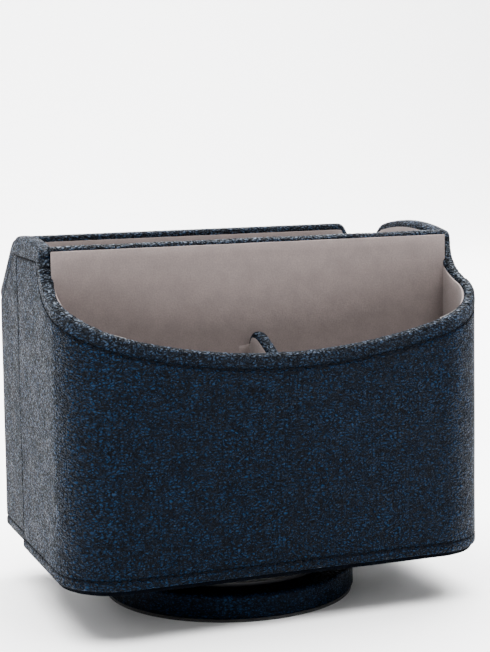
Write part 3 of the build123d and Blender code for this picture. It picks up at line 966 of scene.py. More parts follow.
def make_pocket_lining(material):
    """Lining of the front wall, from one end of the mid wall round to the other."""
    s = sizes()
    shell, rim, normal, _, _ = shell_columns()
    sweep = np.interp(rim[:, 1], [0.121, 0.129], [0, 1])
    edge = rim - normal * (s.lip - 0.45 * MM - 1.05 * MM * sweep)[:, None]
    last = shell.run_at(MID_FRONT)
    keep = np.maximum.accumulate(edge[:, 0]) < last
    stop = int(np.argmin(keep))
    edge, sweep = edge[:stop:2], np.r_[sweep[:stop:2], 1.0]
    edge = np.concatenate([edge, [[last, edge[-1, 1] + 0.4 * MM]]])
    run = edge[:, 0]
    out = Rows(shell.place, run)
    face = s.pocket_wall + (0.2 + 0.75 * sweep) * MM
    foot = Z_FLOOR - LINING_FOOT
    for share in np.linspace(0, 1, 34):
        z = foot + (edge[:, 1] - foot) * share
        sway = 0.08 * MM * ripple(run, z, 6) * math.sin(math.pi * share)
        out.add(run, z, face + sway)
    for back, rise in (*LINING_EDGE[:2], (0.75, 0.36)):
        out.add(run, edge[:, 1] + rise * MM, face - back * MM)
    obj = out.sheet("suede_pocket_lining")
    close_sheet(obj, LINING, lambda c: (0, 1, 0) if c.y < FRONT + 6 * MM else (
        MIDDLE - c.x, 0, 0))
    return finish_piece(obj, material, "lining", "box", "front_lining")


def make_floor_linings(material):
    """Linings on the floors of the two pockets and of the slot."""
    s = sizes()
    shell = Shell()
    inner = s.pocket_wall
    radius = s.corner - inner
    lift = 0.10 * MM

    def front_edge(x):
        """Inside of the front wall in plan."""
        over = np.maximum(np.abs(x) - shell.flat, 0)
        return FRONT + inner + radius - np.sqrt(np.maximum(radius**2 - over**2, 0))

    for name, low, high, near, far in (
            ("pocket_floor_lining_left", -(HALF - inner), DIVIDER - DIVIDER_HALF, None, MID_FRONT),
            ("pocket_floor_lining_right", DIVIDER + DIVIDER_HALF, HALF - inner, None, MID_FRONT),
            ("slot_floor_lining", -SLOT_HALF, SLOT_HALF, MID_BACK, SLOT_BACK)):
        xs = np.linspace(low, high, 56)
        start = front_edge(xs) if near is None else np.full(xs.shape, near)
        rows = []
        for share in np.linspace(0, 1, 30):
            y = start + (far - start) * share
            z = Z_FLOOR + lift + 0.10 * MM * ripple(xs, y, 7) * math.sin(math.pi * share)
            rows.append(np.stack([MIDDLE + xs, y, z], -1))
        spots = np.stack(rows)
        obj = lay_sheet("suede_" + name, spots, xs[None, :], spots[:, :, 1])
        close_sheet(obj, FLOOR_LINING, lambda c: (0, 0, 1))
        finish_piece(obj, material, "lining", "box", name)


# ---- underside and base


def make_bottom_leather(material):
    """Leather of the bottom panel, its cut corners rounded over."""
    source = frame["nodes"]["bottom_wrap"]
    obj = source.copy()
    obj.data = source.data.copy()
    obj.name = obj.data.name = "bottom_leather"
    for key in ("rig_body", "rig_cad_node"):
        if key in obj:
            del obj[key]
    obj.parent = None
    bpy.context.scene.collection.objects.link(obj)
    edit_all(obj)
    bpy.ops.mesh.remove_doubles(threshold=MERGE)
    bpy.ops.mesh.dissolve_limited(angle_limit=math.radians(1))
    bpy.ops.object.mode_set(mode="OBJECT")
    round_edges(obj, 0.35 * MM, 3, 60)
    apply_modifiers(obj)
    bpy.ops.object.shade_smooth_by_angle(angle=math.radians(40))
    return finish_piece(obj, material, "leather", "box", "bottom_wrap")


def make_base_leather(material):
    """Leather wrapped over the round base and glued under its edge."""
    s = sizes()
    r, low, high, t = BASE_HIGH.x, BASE_LOW.z, BASE_HIGH.z, s.leather
    soft = 1.7 * MM
    under, over = r - 12 * MM, r - 25 * MM      # ends of the leather, under and on the board
    lower, upper = (r - soft, low + soft), (r - soft, high - soft)
    obj = spin_profile("base_leather", [
        (under, low), *arc_points(lower, soft, -90, 0, 7),
        *((r - 0.05 * MM, low + (high - low) * share) for share in (0.4, 0.6)),
        *arc_points(upper, soft, 0, 90, 9),
        (r - 8 * MM, high - 0.12 * MM), (under, high), (over, high), (over, high - t),
        *arc_points(upper, soft - t, 90, 0, 9), *arc_points(lower, soft - t, 0, -90, 7),
        (under, low + t), (under, low)])
    return finish_piece(obj, material, "leather", "base", "base_wrap")


# ---- stitching


def turned_to(x, y, z, place):
    """Matrix that turns the axes to x, y and z, and moves the origin to place."""
    turn = Matrix((x, y, z)).transposed().to_4x4()
    return Matrix.Translation(Vector(place)) @ turn


def model_stitch(length, thickness):
    """One stitch: a short capsule of thread, lying along X."""
    clear_selection()
    bpy.ops.mesh.primitive_uv_sphere_add(segments=8, ring_count=6, radius=0.5)
    obj = bpy.context.object
    obj.name = "stitch"
    edit_all(obj)
    bpy.ops.transform.rotate(value=math.pi / 2, orient_axis="Y", center_override=(0, 0, 0))
    bpy.ops.transform.resize(value=(length, thickness, thickness * 0.85),
                             center_override=(0, 0, 0))
    bpy.ops.object.mode_set(mode="OBJECT")
    return obj


def sew(name, runs, material):
    """Copies one stitch along runs of (points, outward directions), and joins the copies."""
    s = sizes()
    stitch = model_stitch(s.stitch_pitch * 0.74, s.thread)

    def at_run(at, run, values):
        return np.array([np.interp(at, run, values[:, i]) for i in range(3)])

    copies = []
    for points, out in runs:
        steps = np.linalg.norm(np.diff(points, axis=0), axis=1)
        run = np.r_[0, np.cumsum(steps)]
        count = int(run[-1] / s.stitch_pitch)
        for k in range(count):
            at = (k + 0.5) * run[-1] / count
            here = at_run(at, run, points)
            ahead = at_run(at + 0.5 * MM, run, points) - at_run(at - 0.5 * MM, run, points)
            x, z = Vector(ahead).normalized(), Vector(at_run(at, run, out))
            z = (z - x * z.dot(x)).normalized()
            y = z.cross(x)
            lean = 0.10 * math.sin(k * 2.4)     # no two stitches lie quite alike
            cos, sin = math.cos(lean), math.sin(lean)
            mesh = stitch.data.copy()
            mesh.transform(turned_to(x * cos + y * sin, y * cos - x * sin, z, here))
            copy = bpy.data.objects.new(f"{name}_{k}", mesh)
            bpy.context.scene.collection.objects.link(copy)
            copies.append(copy)
    bpy.data.objects.remove(stitch)
    clear_selection()
    for copy in copies:
        copy.select_set(True)
    bpy.context.view_layer.objects.active = copies[0]
    bpy.ops.object.join()
    obj = bpy.context.object
    obj.name = obj.data.name = name
    bpy.ops.object.shade_smooth()
    return finish_piece(obj, material, "leather", "box")


def sewn_run(place, run, z):
    """Points a little under a sheet, and the directions out of it."""
    zero = np.zeros(len(run))
    deep = place(run, z, zero + SUNK, 0.0)
    out = place(run, z, zero - MM, 0.0) - place(run, z, zero, 0.0)
    return deep, out / np.linalg.norm(out, axis=1)[:, None]


def make_stitching(material):
    """Top stitching of the rims, and the stitching of the lower hem and the side seams."""
    s = sizes()
    shell, rim, _, sewn, _ = shell_columns()
    outer = band_depth(shell, shell.y_at(rim[:, 0]))
    full = both_sides(sewn[:, 0], -1), both_sides(sewn[:, 1], 1), both_sides(outer, 1)
    points = shell.place(full[0], full[1], full[2] + SUNK)
    out = shell.place(full[0], full[1], full[2] - MM) - points
    out /= np.linalg.norm(out, axis=1)[:, None]
    back_sewn = back_columns()[2]
    bx, bz = both_sides(back_sewn[:, 0], -1), both_sides(back_sewn[:, 1], 1)
    behind = np.stack([MIDDLE + bx, BACK - SUNK + 0 * bx, bz], -1)
    sew("rim_stitching", [(points[3:-3], out[3:-3]),
                          (behind[2:-2], np.tile([0.0, 1.0, 0.0], (len(bx) - 4, 1)))], material)

    z_hem = Z_WALL + s.hem
    hem_run = np.linspace(-shell.seam + 2.4 * MM, shell.seam - 2.4 * MM, 400)
    hem = sewn_run(shell.place, hem_run, z_hem)
    rear = []
    for side in (-1, 1):
        y = np.linspace(SEAM + 1.5 * MM, BACK - 2 * MM, 40)
        x = np.full(40, MIDDLE + side * (REAR_HALF - SUNK))
        rear.append((np.stack([x, y, 0 * x + z_hem], -1), np.tile([side, 0.0, 0.0], (40, 1))))
    x = np.linspace(-REAR_HALF + 2 * MM, REAR_HALF - 2 * MM, 80)
    rear.append((np.stack([MIDDLE + x, 0 * x + BACK - SUNK, 0 * x + z_hem], -1),
                 np.tile([0.0, 1.0, 0.0], (80, 1))))
    sew("hem_stitching", [hem] + rear, material)

    seams = []
    for side in (-1, 1):
        z = np.linspace(z_hem + 1 * MM, Z_BAND - 1.5 * MM, 60)
        run = np.full(60, side * (shell.seam - SEAM_INSET))
        seams.append(sewn_run(shell.place, run, z))
    sew("seam_stitching", seams, material)


# ---- finishes


def new_group(name, inputs, outputs):
    group = bpy.data.node_groups.new(name, "ShaderNodeTree")
    for label, kind, value in inputs:
        socket = group.interface.new_socket(label, in_out="INPUT", socket_type=kind)
        if value is not None:
            socket.default_value = value
    for label, kind in outputs:
        group.interface.new_socket(label, in_out="OUTPUT", socket_type=kind)
    return group, add_node(group, "NodeGroupInput"), add_node(group, "NodeGroupOutput")


def add_node(tree, kind, values=None, **settings):
    """Adds a node; values are numbers or sockets for its inputs, by name or place."""
    node = tree.nodes.new(kind)
    for key, value in settings.items():
        setattr(node, key, value)
    for key, value in (values or {}).items():
        socket = node.inputs[key]
        if isinstance(value, bpy.types.NodeSocket):
            tree.links.new(value, socket)
        else:
            socket.default_value = value
    return node


def darker(colour, share):
    """The colour times share, which is over 1 where the second tone is the lighter one."""
    return [v * share for v in colour[:3]] + [1.0]


def maths(tree, operation, a, b=0.5, clamp=False):
    return add_node(tree, "ShaderNodeMath", {0: a, 1: b}, operation=operation,
                    use_clamp=clamp).outputs[0]


def scaled(tree, vector, factor):
    return add_node(tree, "ShaderNodeVectorMath", {0: vector, "Scale": factor},
                    operation="SCALE").outputs[0]


def noise(tree, vector, scale, detail=2.0, rough=0.5, colour=False):
    node = add_node(tree, "ShaderNodeTexNoise", {
        "Vector": vector, "Scale": scale, "Detail": detail, "Roughness": rough})
    return node.outputs["Color" if colour else "Fac"]


def map_range(tree, value, low, high, to_low=0.0, to_high=1.0):
    return add_node(tree, "ShaderNodeMapRange", {
        "Value": value, "From Min": low, "From Max": high, "To Min": to_low, "To Max": to_high},
        interpolation_type="SMOOTHSTEP").outputs["Result"]


def mix_colour(tree, factor, a, b):
    """A where factor is 0 and B where it is 1; the mix node's colours are its inputs 6 and 7."""
    return add_node(tree, "ShaderNodeMix", {0: factor, 6: a, 7: b},
                    data_type="RGBA").outputs[2]


def pebble_group():
    """Embossed leather grain: rounded pebbles of uneven size with creases between them."""
    tree, start, end = new_group("Pebble grain", [
        ("Vector", "NodeSocketVector", None), ("Pebble", "NodeSocketFloat", 0.00125),
        ("Wander", "NodeSocketFloat", 0.9)],
        [("Height", "NodeSocketFloat"), ("Crease", "NodeSocketFloat")])
    flattened = add_node(tree, "ShaderNodeMapping", {
        "Vector": start.outputs["Vector"], "Scale": (1.0, 0.70, 1.6)}).outputs[0]
    cells = scaled(tree, flattened, maths(tree, "DIVIDE", 1.0, start.outputs["Pebble"]))
    drift = add_node(tree, "ShaderNodeVectorMath", {
        0: noise(tree, cells, 0.55, 2.0, colour=True), 1: (0.5, 0.5, 0.5)},
        operation="SUBTRACT").outputs[0]
    moved = add_node(tree, "ShaderNodeVectorMath", {
        0: cells, 1: scaled(tree, drift, start.outputs["Wander"])}, operation="ADD").outputs[0]
    soft_edge = add_node(tree, "ShaderNodeTexVoronoi", {
        "Vector": moved, "Scale": 1.0, "Randomness": 0.92},
        feature="DISTANCE_TO_EDGE").outputs["Distance"]
    wide = map_range(tree, noise(tree, cells, 0.35, 1.0), 0.35, 0.65, 0.16, 0.26)
    dome = map_range(tree, soft_edge, 0.0, 0.42)
    crease = map_range(tree, soft_edge, 0.0, wide, 1.0, 0.0)
    pores = noise(tree, cells, 3.6, 3.0, 0.6)
    swing = maths(tree, "ABSOLUTE", maths(tree, "SUBTRACT", noise(tree, moved, 0.85, 1.0), 0.5))
    winding = map_range(tree, swing, 0.0, 0.085, 1.0, 0.0)
    crease = maths(tree, "MAXIMUM", maths(tree, "MULTIPLY", crease, 0.62), winding)
    ridge = map_range(tree, swing, 0.0, 0.15)
    height = maths(tree, "ADD", maths(tree, "MULTIPLY", dome, 0.42),
                   maths(tree, "MULTIPLY", ridge, 0.55))
    height = maths(tree, "ADD", height, maths(tree, "MULTIPLY", pores, 0.08))
    tree.links.new(height, end.inputs["Height"])
    # Crease marks the creases between the pebbles; the leather paints shade there and makes them
    # rougher.
    tree.links.new(crease, end.inputs["Crease"])
    return tree


def tuck_group():
    """Close wrinkles across a rolled edge, where the leather is gathered."""
    tree, start, end = new_group("Tucked edge", [
        ("Sheet", "NodeSocketVector", None), ("Amount", "NodeSocketFloat", 0.0)],
        [("Height", "NodeSocketFloat"), ("Fold", "NodeSocketFloat")])
    squeezed = add_node(tree, "ShaderNodeMapping", {
        "Vector": start.outputs["Sheet"], "Scale": (1.0, 0.22, 1.0)}).outputs[0]
    folds = noise(tree, squeezed, 820.0, 2.0, 0.55)
    small = noise(tree, squeezed, 2300.0, 1.0, 0.5)
    height = maths(tree, "ADD", map_range(tree, folds, 0.34, 0.66),
                   maths(tree, "MULTIPLY", small, 0.3))
    tree.links.new(maths(tree, "MULTIPLY", height, start.outputs["Amount"]), end.inputs["Height"])
    # Painted shade: Fold marks the valleys of the wrinkles, which the leather darkens.
    fold_shade_mask = map_range(tree, folds, 0.30, 0.48, 1.0, 0.0)
    tree.links.new(maths(tree, "MULTIPLY", fold_shade_mask, start.outputs["Amount"]),
                   end.inputs["Fold"])
    return tree


def wear_group():
    """Rubbed spots that keep to a band of heights, broken up by noise."""
    tree, start, end = new_group("Rubbed spots", [
        ("Vector", "NodeSocketVector", None), ("Low", "NodeSocketFloat", 0.0),
        ("High", "NodeSocketFloat", 0.01), ("Spread", "NodeSocketFloat", 0.6)],
        [("Mask", "NodeSocketFloat")])
    z = add_node(tree, "ShaderNodeSeparateXYZ", {0: start.outputs["Vector"]}).outputs["Z"]
    rise = map_range(tree, z, start.outputs["Low"], start.outputs["High"], 1.0, 0.0)
    spots = noise(tree, start.outputs["Vector"], 260.0, 4.0, 0.65)
    spotty = map_range(tree, spots, start.outputs["Spread"], 0.78)
    tree.links.new(maths(tree, "MULTIPLY", rise, spotty, clamp=True), end.inputs["Mask"])
    return tree


def new_material(name):
    material = bpy.data.materials.new(name)
    material.use_nodes = True
    tree = material.node_tree
    return material, tree, tree.nodes["Principled BSDF"]


def object_coords(tree):
    return add_node(tree, "ShaderNodeTexCoord").outputs["Object"]


def use_group(tree, group, values):
    return add_node(tree, "ShaderNodeGroup", values, node_tree=group)


def bump(tree, height, strength, distance, normal=None):
    values = {"Height": height, "Strength": strength, "Distance": distance}
    if normal is not None:
        values["Normal"] = normal
    return add_node(tree, "ShaderNodeBump", values).outputs["Normal"]


def leather_material(name, groups, pebble, depth, gloss, wear_low, wear_high, spread,
                     sheet=True, dark=0.0):
    """Pebbled leather. pebble is the width of one pebble and depth its height.

    gloss is the roughness. Edges have rubbed between the heights wear_low and wear_high, and
    less the higher spread is. sheet is true where the piece has its own UV map and sewing
    masks. dark, from 0 to 1, is how far the colour is held down."""
    c = colours()
    material, tree, shader = new_material(name)
    at = object_coords(tree)
    grain = use_group(tree, groups["pebble"], {"Vector": at, "Pebble": pebble, "Wander": 0.8})
    rubbed = use_group(tree, groups["wear"], {
        "Vector": at, "Low": wear_low, "High": wear_high, "Spread": spread})
    cloud = noise(tree, at, 38.0, 3.0)
    tone = mix_colour(tree, map_range(tree, cloud, 0.35, 0.68), c.leather,
                      darker(c.leather, 0.85))
    crease = grain.outputs["Crease"]
    normal = bump(tree, noise(tree, at, 95.0, 2.0), 0.35, 0.0006)
    rough = map_range(tree, noise(tree, at, 130.0, 3.0), 0.3, 0.7, gloss - 0.05, gloss + 0.05)
    if sheet:
        flat = add_node(tree, "ShaderNodeUVMap", uv_map="Sheet").outputs["UV"]
        amount = add_node(tree, "ShaderNodeAttribute", attribute_name="tuck").outputs["Fac"]
        tuck = use_group(tree, groups["tuck"], {"Sheet": flat, "Amount": amount})
        crease = maths(tree, "MAXIMUM", crease, tuck.outputs["Fold"])
        # Painted shade: the pressed hem, seam and stitch lines darken towards the valley colour.
        pressed = add_node(tree, "ShaderNodeAttribute", attribute_name="pressed").outputs["Fac"]
        crease = maths(tree, "MAXIMUM", crease, maths(tree, "MULTIPLY", pressed, 0.9), clamp=True)
        rough = maths(tree, "SUBTRACT", rough, maths(tree, "MULTIPLY", amount, 0.10))
        # Painted highlight: where the leather is gathered over a roll, its colour is lifted towards
        # the pale rubbed-edge colour, less in the folds.
        painted_rim_highlight = maths(tree, "MULTIPLY", amount, maths(tree, "SUBTRACT", 0.30, maths(
            tree, "MULTIPLY", tuck.outputs["Fold"], 0.5)), clamp=True)
        tone = mix_colour(tree, painted_rim_highlight, tone, c.wear_and_highlight)
        normal = bump(tree, tuck.outputs["Height"], 1.0, 0.0008, normal)
    # Painted light and shade: the colour is brighter on the pebbles' tops and darker on their lower
    # parts, by the grain's height.
    painted_pebble_shading = map_range(tree, grain.outputs["Height"], 0.35, 0.95, 0.40, 1.9)
    # Painted shade: the creases between the pebbles, the tucks' folds and the pressed lines are
    # mixed towards the valley colour.
    base = mix_colour(tree, crease, scaled(tree, tone, painted_pebble_shading), c.valley)
    base = mix_colour(tree, rubbed.outputs["Mask"], base, c.wear_and_highlight)
    # Painted shade: dark holds the whole colour down towards the valley colour, for leather that
    # sits in the shade under the box.
    tree.links.new(mix_colour(tree, dark, base, c.valley), shader.inputs["Base Color"])
    facing = add_node(tree, "ShaderNodeLayerWeight", {"Blend": 0.5}).outputs["Facing"]
    rough = maths(tree, "ADD", rough, map_range(tree, facing, 0.30, 0.70, 0.0, SIDE_DULL))
    rough = maths(tree, "ADD", rough, maths(tree, "MULTIPLY", crease, 0.35), clamp=True)
    tree.links.new(rough, shader.inputs["Roughness"])
    shader.inputs["IOR"].default_value = 1.5
    shader.inputs["Specular IOR Level"].default_value = SHINE * (1 - 0.7 * dark)
    tree.links.new(bump(tree, grain.outputs["Height"], 1.0, depth, normal),
                   shader.inputs["Normal"])
    return material


def lining_material():
    """Suede with a short nap, darker where it has been brushed the other way."""
    c = colours()
    material, tree, shader = new_material("suede_lining")
    at = object_coords(tree)
    brushed = map_range(tree, noise(tree, at, 120.0, 4.0, 0.6), 0.30, 0.72)
    fibre = noise(tree, at, 1500.0, 3.0, 0.7)
    base = mix_colour(tree, brushed, c.lining, c.lining_dark)
    base = mix_colour(tree, map_range(tree, fibre, 0.3, 0.7, 0.0, 0.45), base,
                      darker(c.lining, 0.62))
    tree.links.new(base, shader.inputs["Base Color"])
    tree.links.new(map_range(tree, fibre, 0.2, 0.8, 0.86, 1.0), shader.inputs["Roughness"])
    shader.inputs["Sheen Weight"].default_value = 0.10
    shader.inputs["Sheen Roughness"].default_value = 0.45
    shader.inputs["IOR"].default_value = 1.35
    nap = bump(tree, noise(tree, at, 240.0, 3.0), 0.25, 0.0004)
    tree.links.new(bump(tree, fibre, 0.6, 0.00016, nap), shader.inputs["Normal"])
    return material


def thread_material():
    """Waxed thread, with its twist."""
    c = colours()
    material, tree, shader = new_material("waxed_thread")
    at = object_coords(tree)
    twist = noise(tree, at, 2600.0, 2.0)
    tree.links.new(mix_colour(tree, twist, c.thread, darker(c.thread, 2.6)),
                   shader.inputs["Base Color"])
    tree.links.new(map_range(tree, twist, 0.3, 0.7, 0.65, 0.85), shader.inputs["Roughness"])
    shader.inputs["IOR"].default_value = 1.3
    shader.inputs["Specular IOR Level"].default_value = 0.1
    tree.links.new(bump(tree, twist, 0.7, 0.0002), shader.inputs["Normal"])
    return material


def board_material(name, light, dark, scale):
    """Pressed board; scale is the fineness of its fibres."""
    material, tree, shader = new_material(name)
    at = object_coords(tree)
    fibre = noise(tree, at, scale, 5.0, 0.65)
    speck = map_range(tree, noise(tree, at, scale * 3.1, 2.0), 0.60, 0.72)
    base = mix_colour(tree, fibre, light, dark)
    tree.links.new(mix_colour(tree, speck, base, darker(dark, 0.5)),
                   shader.inputs["Base Color"])
    tree.links.new(map_range(tree, fibre, 0.3, 0.7, 0.8, 0.95), shader.inputs["Roughness"])
    tree.links.new(bump(tree, fibre, 0.5, 0.0002), shader.inputs["Normal"])
    return material


def metal_material(name, colour, rough, scale, stretch):
    """Steel with a drawn or rolled finish: fine lines and smudges."""
    material, tree, shader = new_material(name)
    at = object_coords(tree)
    lines = noise(tree, add_node(tree, "ShaderNodeMapping", {
        "Vector": at, "Scale": stretch}).outputs[0], scale, 3.0)
    smudge = noise(tree, at, 70.0, 4.0, 0.6)
    tree.links.new(mix_colour(tree, smudge, colour, darker(colour, 0.75)),
                   shader.inputs["Base Color"])
    shader.inputs["Metallic"].default_value = 1.0
    mixed = maths(tree, "ADD", maths(tree, "MULTIPLY", lines, 0.14),
                  maths(tree, "MULTIPLY", smudge, 0.12))
    tree.links.new(maths(tree, "ADD", mixed, rough - 0.13), shader.inputs["Roughness"])
    tree.links.new(bump(tree, lines, 0.25, 0.00005), shader.inputs["Normal"])
    return material


def moulded_material(name, colour, rough, scale, depth):
    """Moulded plastic or foam rubber, with a fine texture of the given scale and depth."""
    material, tree, shader = new_material(name)
    at = object_coords(tree)
    texture = noise(tree, at, scale, 4.0, 0.6)
    cloud = noise(tree, at, 60.0, 3.0)
    tree.links.new(mix_colour(tree, cloud, colour, darker(colour, 0.8)),
                   shader.inputs["Base Color"])
    tree.links.new(map_range(tree, texture, 0.3, 0.7, rough - 0.07, rough + 0.07),
                   shader.inputs["Roughness"])
    tree.links.new(bump(tree, texture, 0.5, depth), shader.inputs["Normal"])
    return material


def floor_material():
    c = colours()
    material, tree, shader = new_material("studio_floor")
    at = object_coords(tree)
    cloud = noise(tree, at, 3.0, 3.0)
    tree.links.new(mix_colour(tree, cloud, c.floor, darker(c.floor, 0.97)),
                   shader.inputs["Base Color"])
    shader.inputs["Roughness"].default_value = 0.85
    return material


def make_finishes():
    """Fills FINISHES, which the other operators take their materials from."""
    s = sizes()
    groups = {"pebble": pebble_group(), "tuck": tuck_group(), "wear": wear_group()}
    FINISHES["leather"] = leather_material(
        "pebbled_leather", groups, pebble=s.pebble, depth=0.80 * MM, gloss=0.30,
        wear_low=Z_WALL, wear_high=Z_WALL + 1.6 * MM, spread=0.60)
    # Painted shade: the panel and base leathers are darker copies of the leather, for the shade
    # under the box.
    FINISHES["under_leather"] = leather_material(
        "panel_leather", groups, pebble=s.pebble * 0.8, depth=0.14 * MM, gloss=0.42,
        wear_low=Z_WALL - 3 * MM, wear_high=Z_WALL, spread=0.74, sheet=False, dark=0.9)
    FINISHES["base_leather"] = leather_material(
        "base_leather", groups, pebble=s.pebble * 0.9, depth=0.16 * MM, gloss=0.44,
        wear_low=BASE_LOW.z, wear_high=BASE_LOW.z + 1.5 * MM, spread=0.68,
        sheet=False, dark=0.35)
    FINISHES["lining"] = lining_material()
    FINISHES["thread"] = thread_material()
    FINISHES["greyboard"] = board_material(
        "dark_greyboard", (0.060, 0.056, 0.052, 1), (0.035, 0.032, 0.030, 1), scale=420.0)
    FINISHES["fibreboard"] = board_material(
        "fibreboard", (0.33, 0.23, 0.14, 1), (0.20, 0.13, 0.08, 1), scale=520.0)
    FINISHES["plate_steel"] = metal_material(
        "blackened_plate", (0.045, 0.046, 0.050, 1), rough=0.42, scale=420.0,
        stretch=(1.0, 6.0, 1.0))
    FINISHES["bright_steel"] = metal_material(
        "bright_steel", (0.70, 0.70, 0.70, 1), rough=0.22, scale=900.0,
        stretch=(1.0, 1.0, 5.0))
    FINISHES["retainer_nylon"] = moulded_material(
        "nylon", (0.62, 0.60, 0.54, 1), rough=0.48, scale=900.0, depth=0.05 * MM)
    FINISHES["pad_rubber"] = moulded_material(
        "rubber_pad", (0.018, 0.018, 0.019, 1), rough=0.78, scale=1400.0, depth=0.18 * MM)


NODE_FINISH = {
    "greyboard": ("back_board", "mid_board", "divider_board", "front_outer_board",
                  "front_inner_board", "side_board_left", "side_board_right"),
    "fibreboard": ("floor_board", "bottom_board", "base_board"),
    "plate_steel": ("turntable_lower_plate", "turntable_upper_plate"),
    "bright_steel": ("turntable_rivet", "turntable_balls", "base_screws", "box_screws"),
    "retainer_nylon": ("turntable_retainer",),
    "pad_rubber": ("base_pad",),
}


def finish_frame_nodes():
    """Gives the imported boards, plates, balls, screws and pad their finishes."""
    for finish, names in NODE_FINISH.items():
        for name in names:
            mesh = frame["nodes"][name].data
            if not mesh.materials:
                mesh.materials.append(None)
            for i in range(len(mesh.materials)):
                mesh.materials[i] = FINISHES[finish]


# ---- stage


def area_light(name, place, aim, size, power):
    lamp = bpy.data.lights.new(name, "AREA")
    lamp.shape = "RECTANGLE"
    lamp.size, lamp.size_y = size
    lamp.energy = power
    obj = bpy.data.objects.new(name, lamp)
    bpy.context.scene.collection.objects.link(obj)
    obj.location = place
    obj.rotation_euler = (Vector(aim) - Vector(place)).to_track_quat("-Z", "Y").to_euler()
    return obj


def make_floor():
    """Floor and backdrop in one sweep."""
    bend = arc_points((FLOOR_BACK, SWEEP_ROUND), SWEEP_ROUND, -84, 0, 15)
    y = np.concatenate([np.linspace(FLOOR_FRONT, FLOOR_BACK, 24), bend[:, 0],
                        np.full(8, FLOOR_BACK + SWEEP_ROUND)])
    z = np.concatenate([np.zeros(24), bend[:, 1], np.linspace(BACKDROP_LOW, BACKDROP_HIGH, 8)])
    x = np.linspace(-FLOOR_HALF, FLOOR_HALF, 20)
    spots = np.stack(np.broadcast_arrays(x, y[:, None], z[:, None]), -1)
    floor = lay_sheet("floor", spots, x[None, :], y[:, None])
    bpy.ops.object.shade_smooth()
    floor.data.materials.append(floor_material())


def make_lights():
    world = bpy.data.worlds.new("studio")
    world.use_nodes = True
    background = world.node_tree.nodes["Background"]
    background.inputs["Color"].default_value = (1.0, 1.0, 1.0, 1)
    background.inputs["Strength"].default_value = WORLD_LIGHT
    bpy.context.scene.world = world
    aim = (MIDDLE, 0, AIM_HEIGHT)
    area_light("top_softbox", (0.1, 0.25, 1.6), aim, (2.4, 2.4), 310)
    area_light("left_softbox", (-1.35, 0.30, 0.62), aim, (1.1, 1.1), 8)
    area_light("fill_softbox", (0.9, -1.7, 1.1), aim, (1.2, 1.2), 11)
    area_light("backdrop_light", (0.9, 1.1, 1.7), (1.0, 2.5, 0.25), (2.2, 0.8), 150)


def make_camera():
    yaw, pitch, roll = (math.radians(a) for a in CAMERA_TURN)
    ahead = Vector((math.sin(yaw) * math.cos(pitch), math.cos(yaw) * math.cos(pitch),
                    -math.sin(pitch)))
    level = Vector((math.cos(yaw), -math.sin(yaw), 0))
    upright = level.cross(ahead)
    right = level * math.cos(roll) + upright * math.sin(roll)
    up = upright * math.cos(roll) - level * math.sin(roll)
    camera = bpy.data.cameras.new("camera")
    camera.sensor_width = SENSOR
    camera.lens = LENS
    camera.shift_y = LENS_SHIFT
    camera.clip_start, camera.clip_end = 0.01, 30
    obj = bpy.data.objects.new("camera", camera)
    bpy.context.scene.collection.objects.link(obj)
    obj.matrix_world = turned_to(right, up, -ahead, CAMERA_PLACE)
    bpy.context.scene.camera = obj


# ---- operators, panel and registration


class ORGANIZER_OT_stage(bpy.types.Operator):
    """Adds the floor, the lights and the camera"""
    bl_idname = "organizer.stage"
    bl_label = "Stage"

    def execute(self, context):
        make_floor()
        make_lights()
        make_camera()
        return {"FINISHED"}


class ORGANIZER_OT_finishes(bpy.types.Operator):
    """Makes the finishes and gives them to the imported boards, plates and screws"""
    bl_idname = "organizer.finishes"
    bl_label = "Finishes"

    def execute(self, context):
        make_finishes()
        finish_frame_nodes()
        return {"FINISHED"}


class ORGANIZER_OT_shell_leather(bpy.types.Operator):
    """Lays the leather of the front shell, its rim and both side tops"""
    bl_idname = "organizer.shell_leather"
    bl_label = "Shell leather"

    def execute(self, context):
        make_shell_leather(FINISHES["leather"])
        return {"FINISHED"}


class ORGANIZER_OT_rear_leather(bpy.types.Operator):
    """Lays the leather of the tall box and the strip over its back rim"""
    bl_idname = "organizer.rear_leather"
    bl_label = "Rear leather"

    def execute(self, context):
        make_rear_leather(FINISHES["leather"])
        make_back_rim(FINISHES["leather"])
        return {"FINISHED"}


class ORGANIZER_OT_inner_rims(bpy.types.Operator):
    """Rolls the leather over the mid wall and the divider"""
    bl_idname = "organizer.inner_rims"
    bl_label = "Inner rims"

    def execute(self, context):
        make_mid_rim(FINISHES["leather"])
        make_divider_rim(FINISHES["leather"])
        return {"FINISHED"}


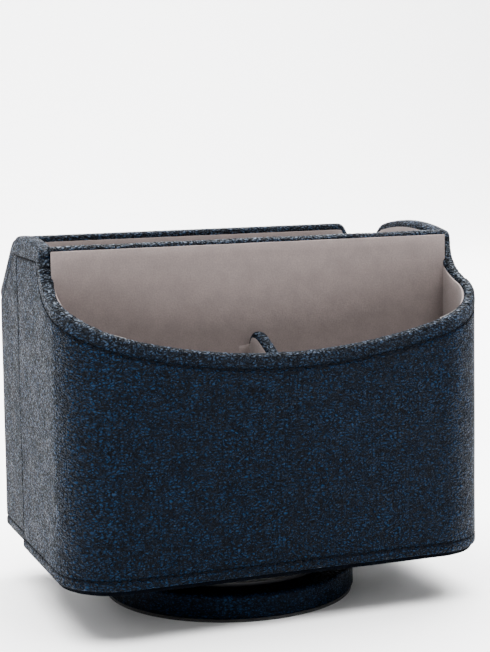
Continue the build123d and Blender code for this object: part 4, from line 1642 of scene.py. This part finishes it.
class ORGANIZER_OT_linings(bpy.types.Operator):
    """Lays the suede linings of the pockets, the slot and the divider"""
    bl_idname = "organizer.linings"
    bl_label = "Linings"

    def execute(self, context):
        lining = FINISHES["lining"]
        make_wall_linings(lining)
        make_pocket_lining(lining)
        make_floor_linings(lining)
        make_divider_lining(-1, "divider_lining_left", lining)
        make_divider_lining(1, "divider_lining_right", lining)
        return {"FINISHED"}


class ORGANIZER_OT_underside(bpy.types.Operator):
    """Covers the bottom panel and the round base"""
    bl_idname = "organizer.underside"
    bl_label = "Underside and base"

    def execute(self, context):
        make_bottom_leather(FINISHES["under_leather"])
        make_base_leather(FINISHES["base_leather"])
        return {"FINISHED"}


class ORGANIZER_OT_stitching(bpy.types.Operator):
    """Sews the rims, the lower hem and the two side seams"""
    bl_idname = "organizer.stitching"
    bl_label = "Stitching"

    def execute(self, context):
        make_stitching(FINISHES["thread"])
        return {"FINISHED"}


STEPS = (ORGANIZER_OT_stage, ORGANIZER_OT_finishes, ORGANIZER_OT_shell_leather,
         ORGANIZER_OT_rear_leather, ORGANIZER_OT_inner_rims, ORGANIZER_OT_linings,
         ORGANIZER_OT_underside, ORGANIZER_OT_stitching)


class ORGANIZER_PT_panel(bpy.types.Panel):
    bl_idname = "ORGANIZER_PT_panel"
    bl_label = "Desk organizer"
    bl_space_type = "VIEW_3D"
    bl_region_type = "UI"
    bl_category = "Organizer"

    def draw(self, context):
        for group in (context.scene.organizer_sizes, context.scene.organizer_colours):
            box = self.layout.box()
            for name in group.bl_rna.properties.keys():
                if name not in ("rna_type", "name"):
                    box.prop(group, name)
        for step in STEPS:
            self.layout.operator(step.bl_idname)


CLASSES = (OrganizerSizes, OrganizerColours, *STEPS, ORGANIZER_PT_panel)


def register():
    for cls in CLASSES:
        bpy.utils.register_class(cls)
    bpy.types.Scene.organizer_sizes = bpy.props.PointerProperty(type=OrganizerSizes)
    bpy.types.Scene.organizer_colours = bpy.props.PointerProperty(type=OrganizerColours)


def unregister():
    del bpy.types.Scene.organizer_colours
    del bpy.types.Scene.organizer_sizes
    for cls in reversed(CLASSES):
        bpy.utils.unregister_class(cls)


def main():
    register()
    for step in STEPS:
        group, action = step.bl_idname.split(".")
        getattr(getattr(bpy.ops, group), action)()
    bpy.context.view_layer.update()


if __name__ == "__main__":
    main()
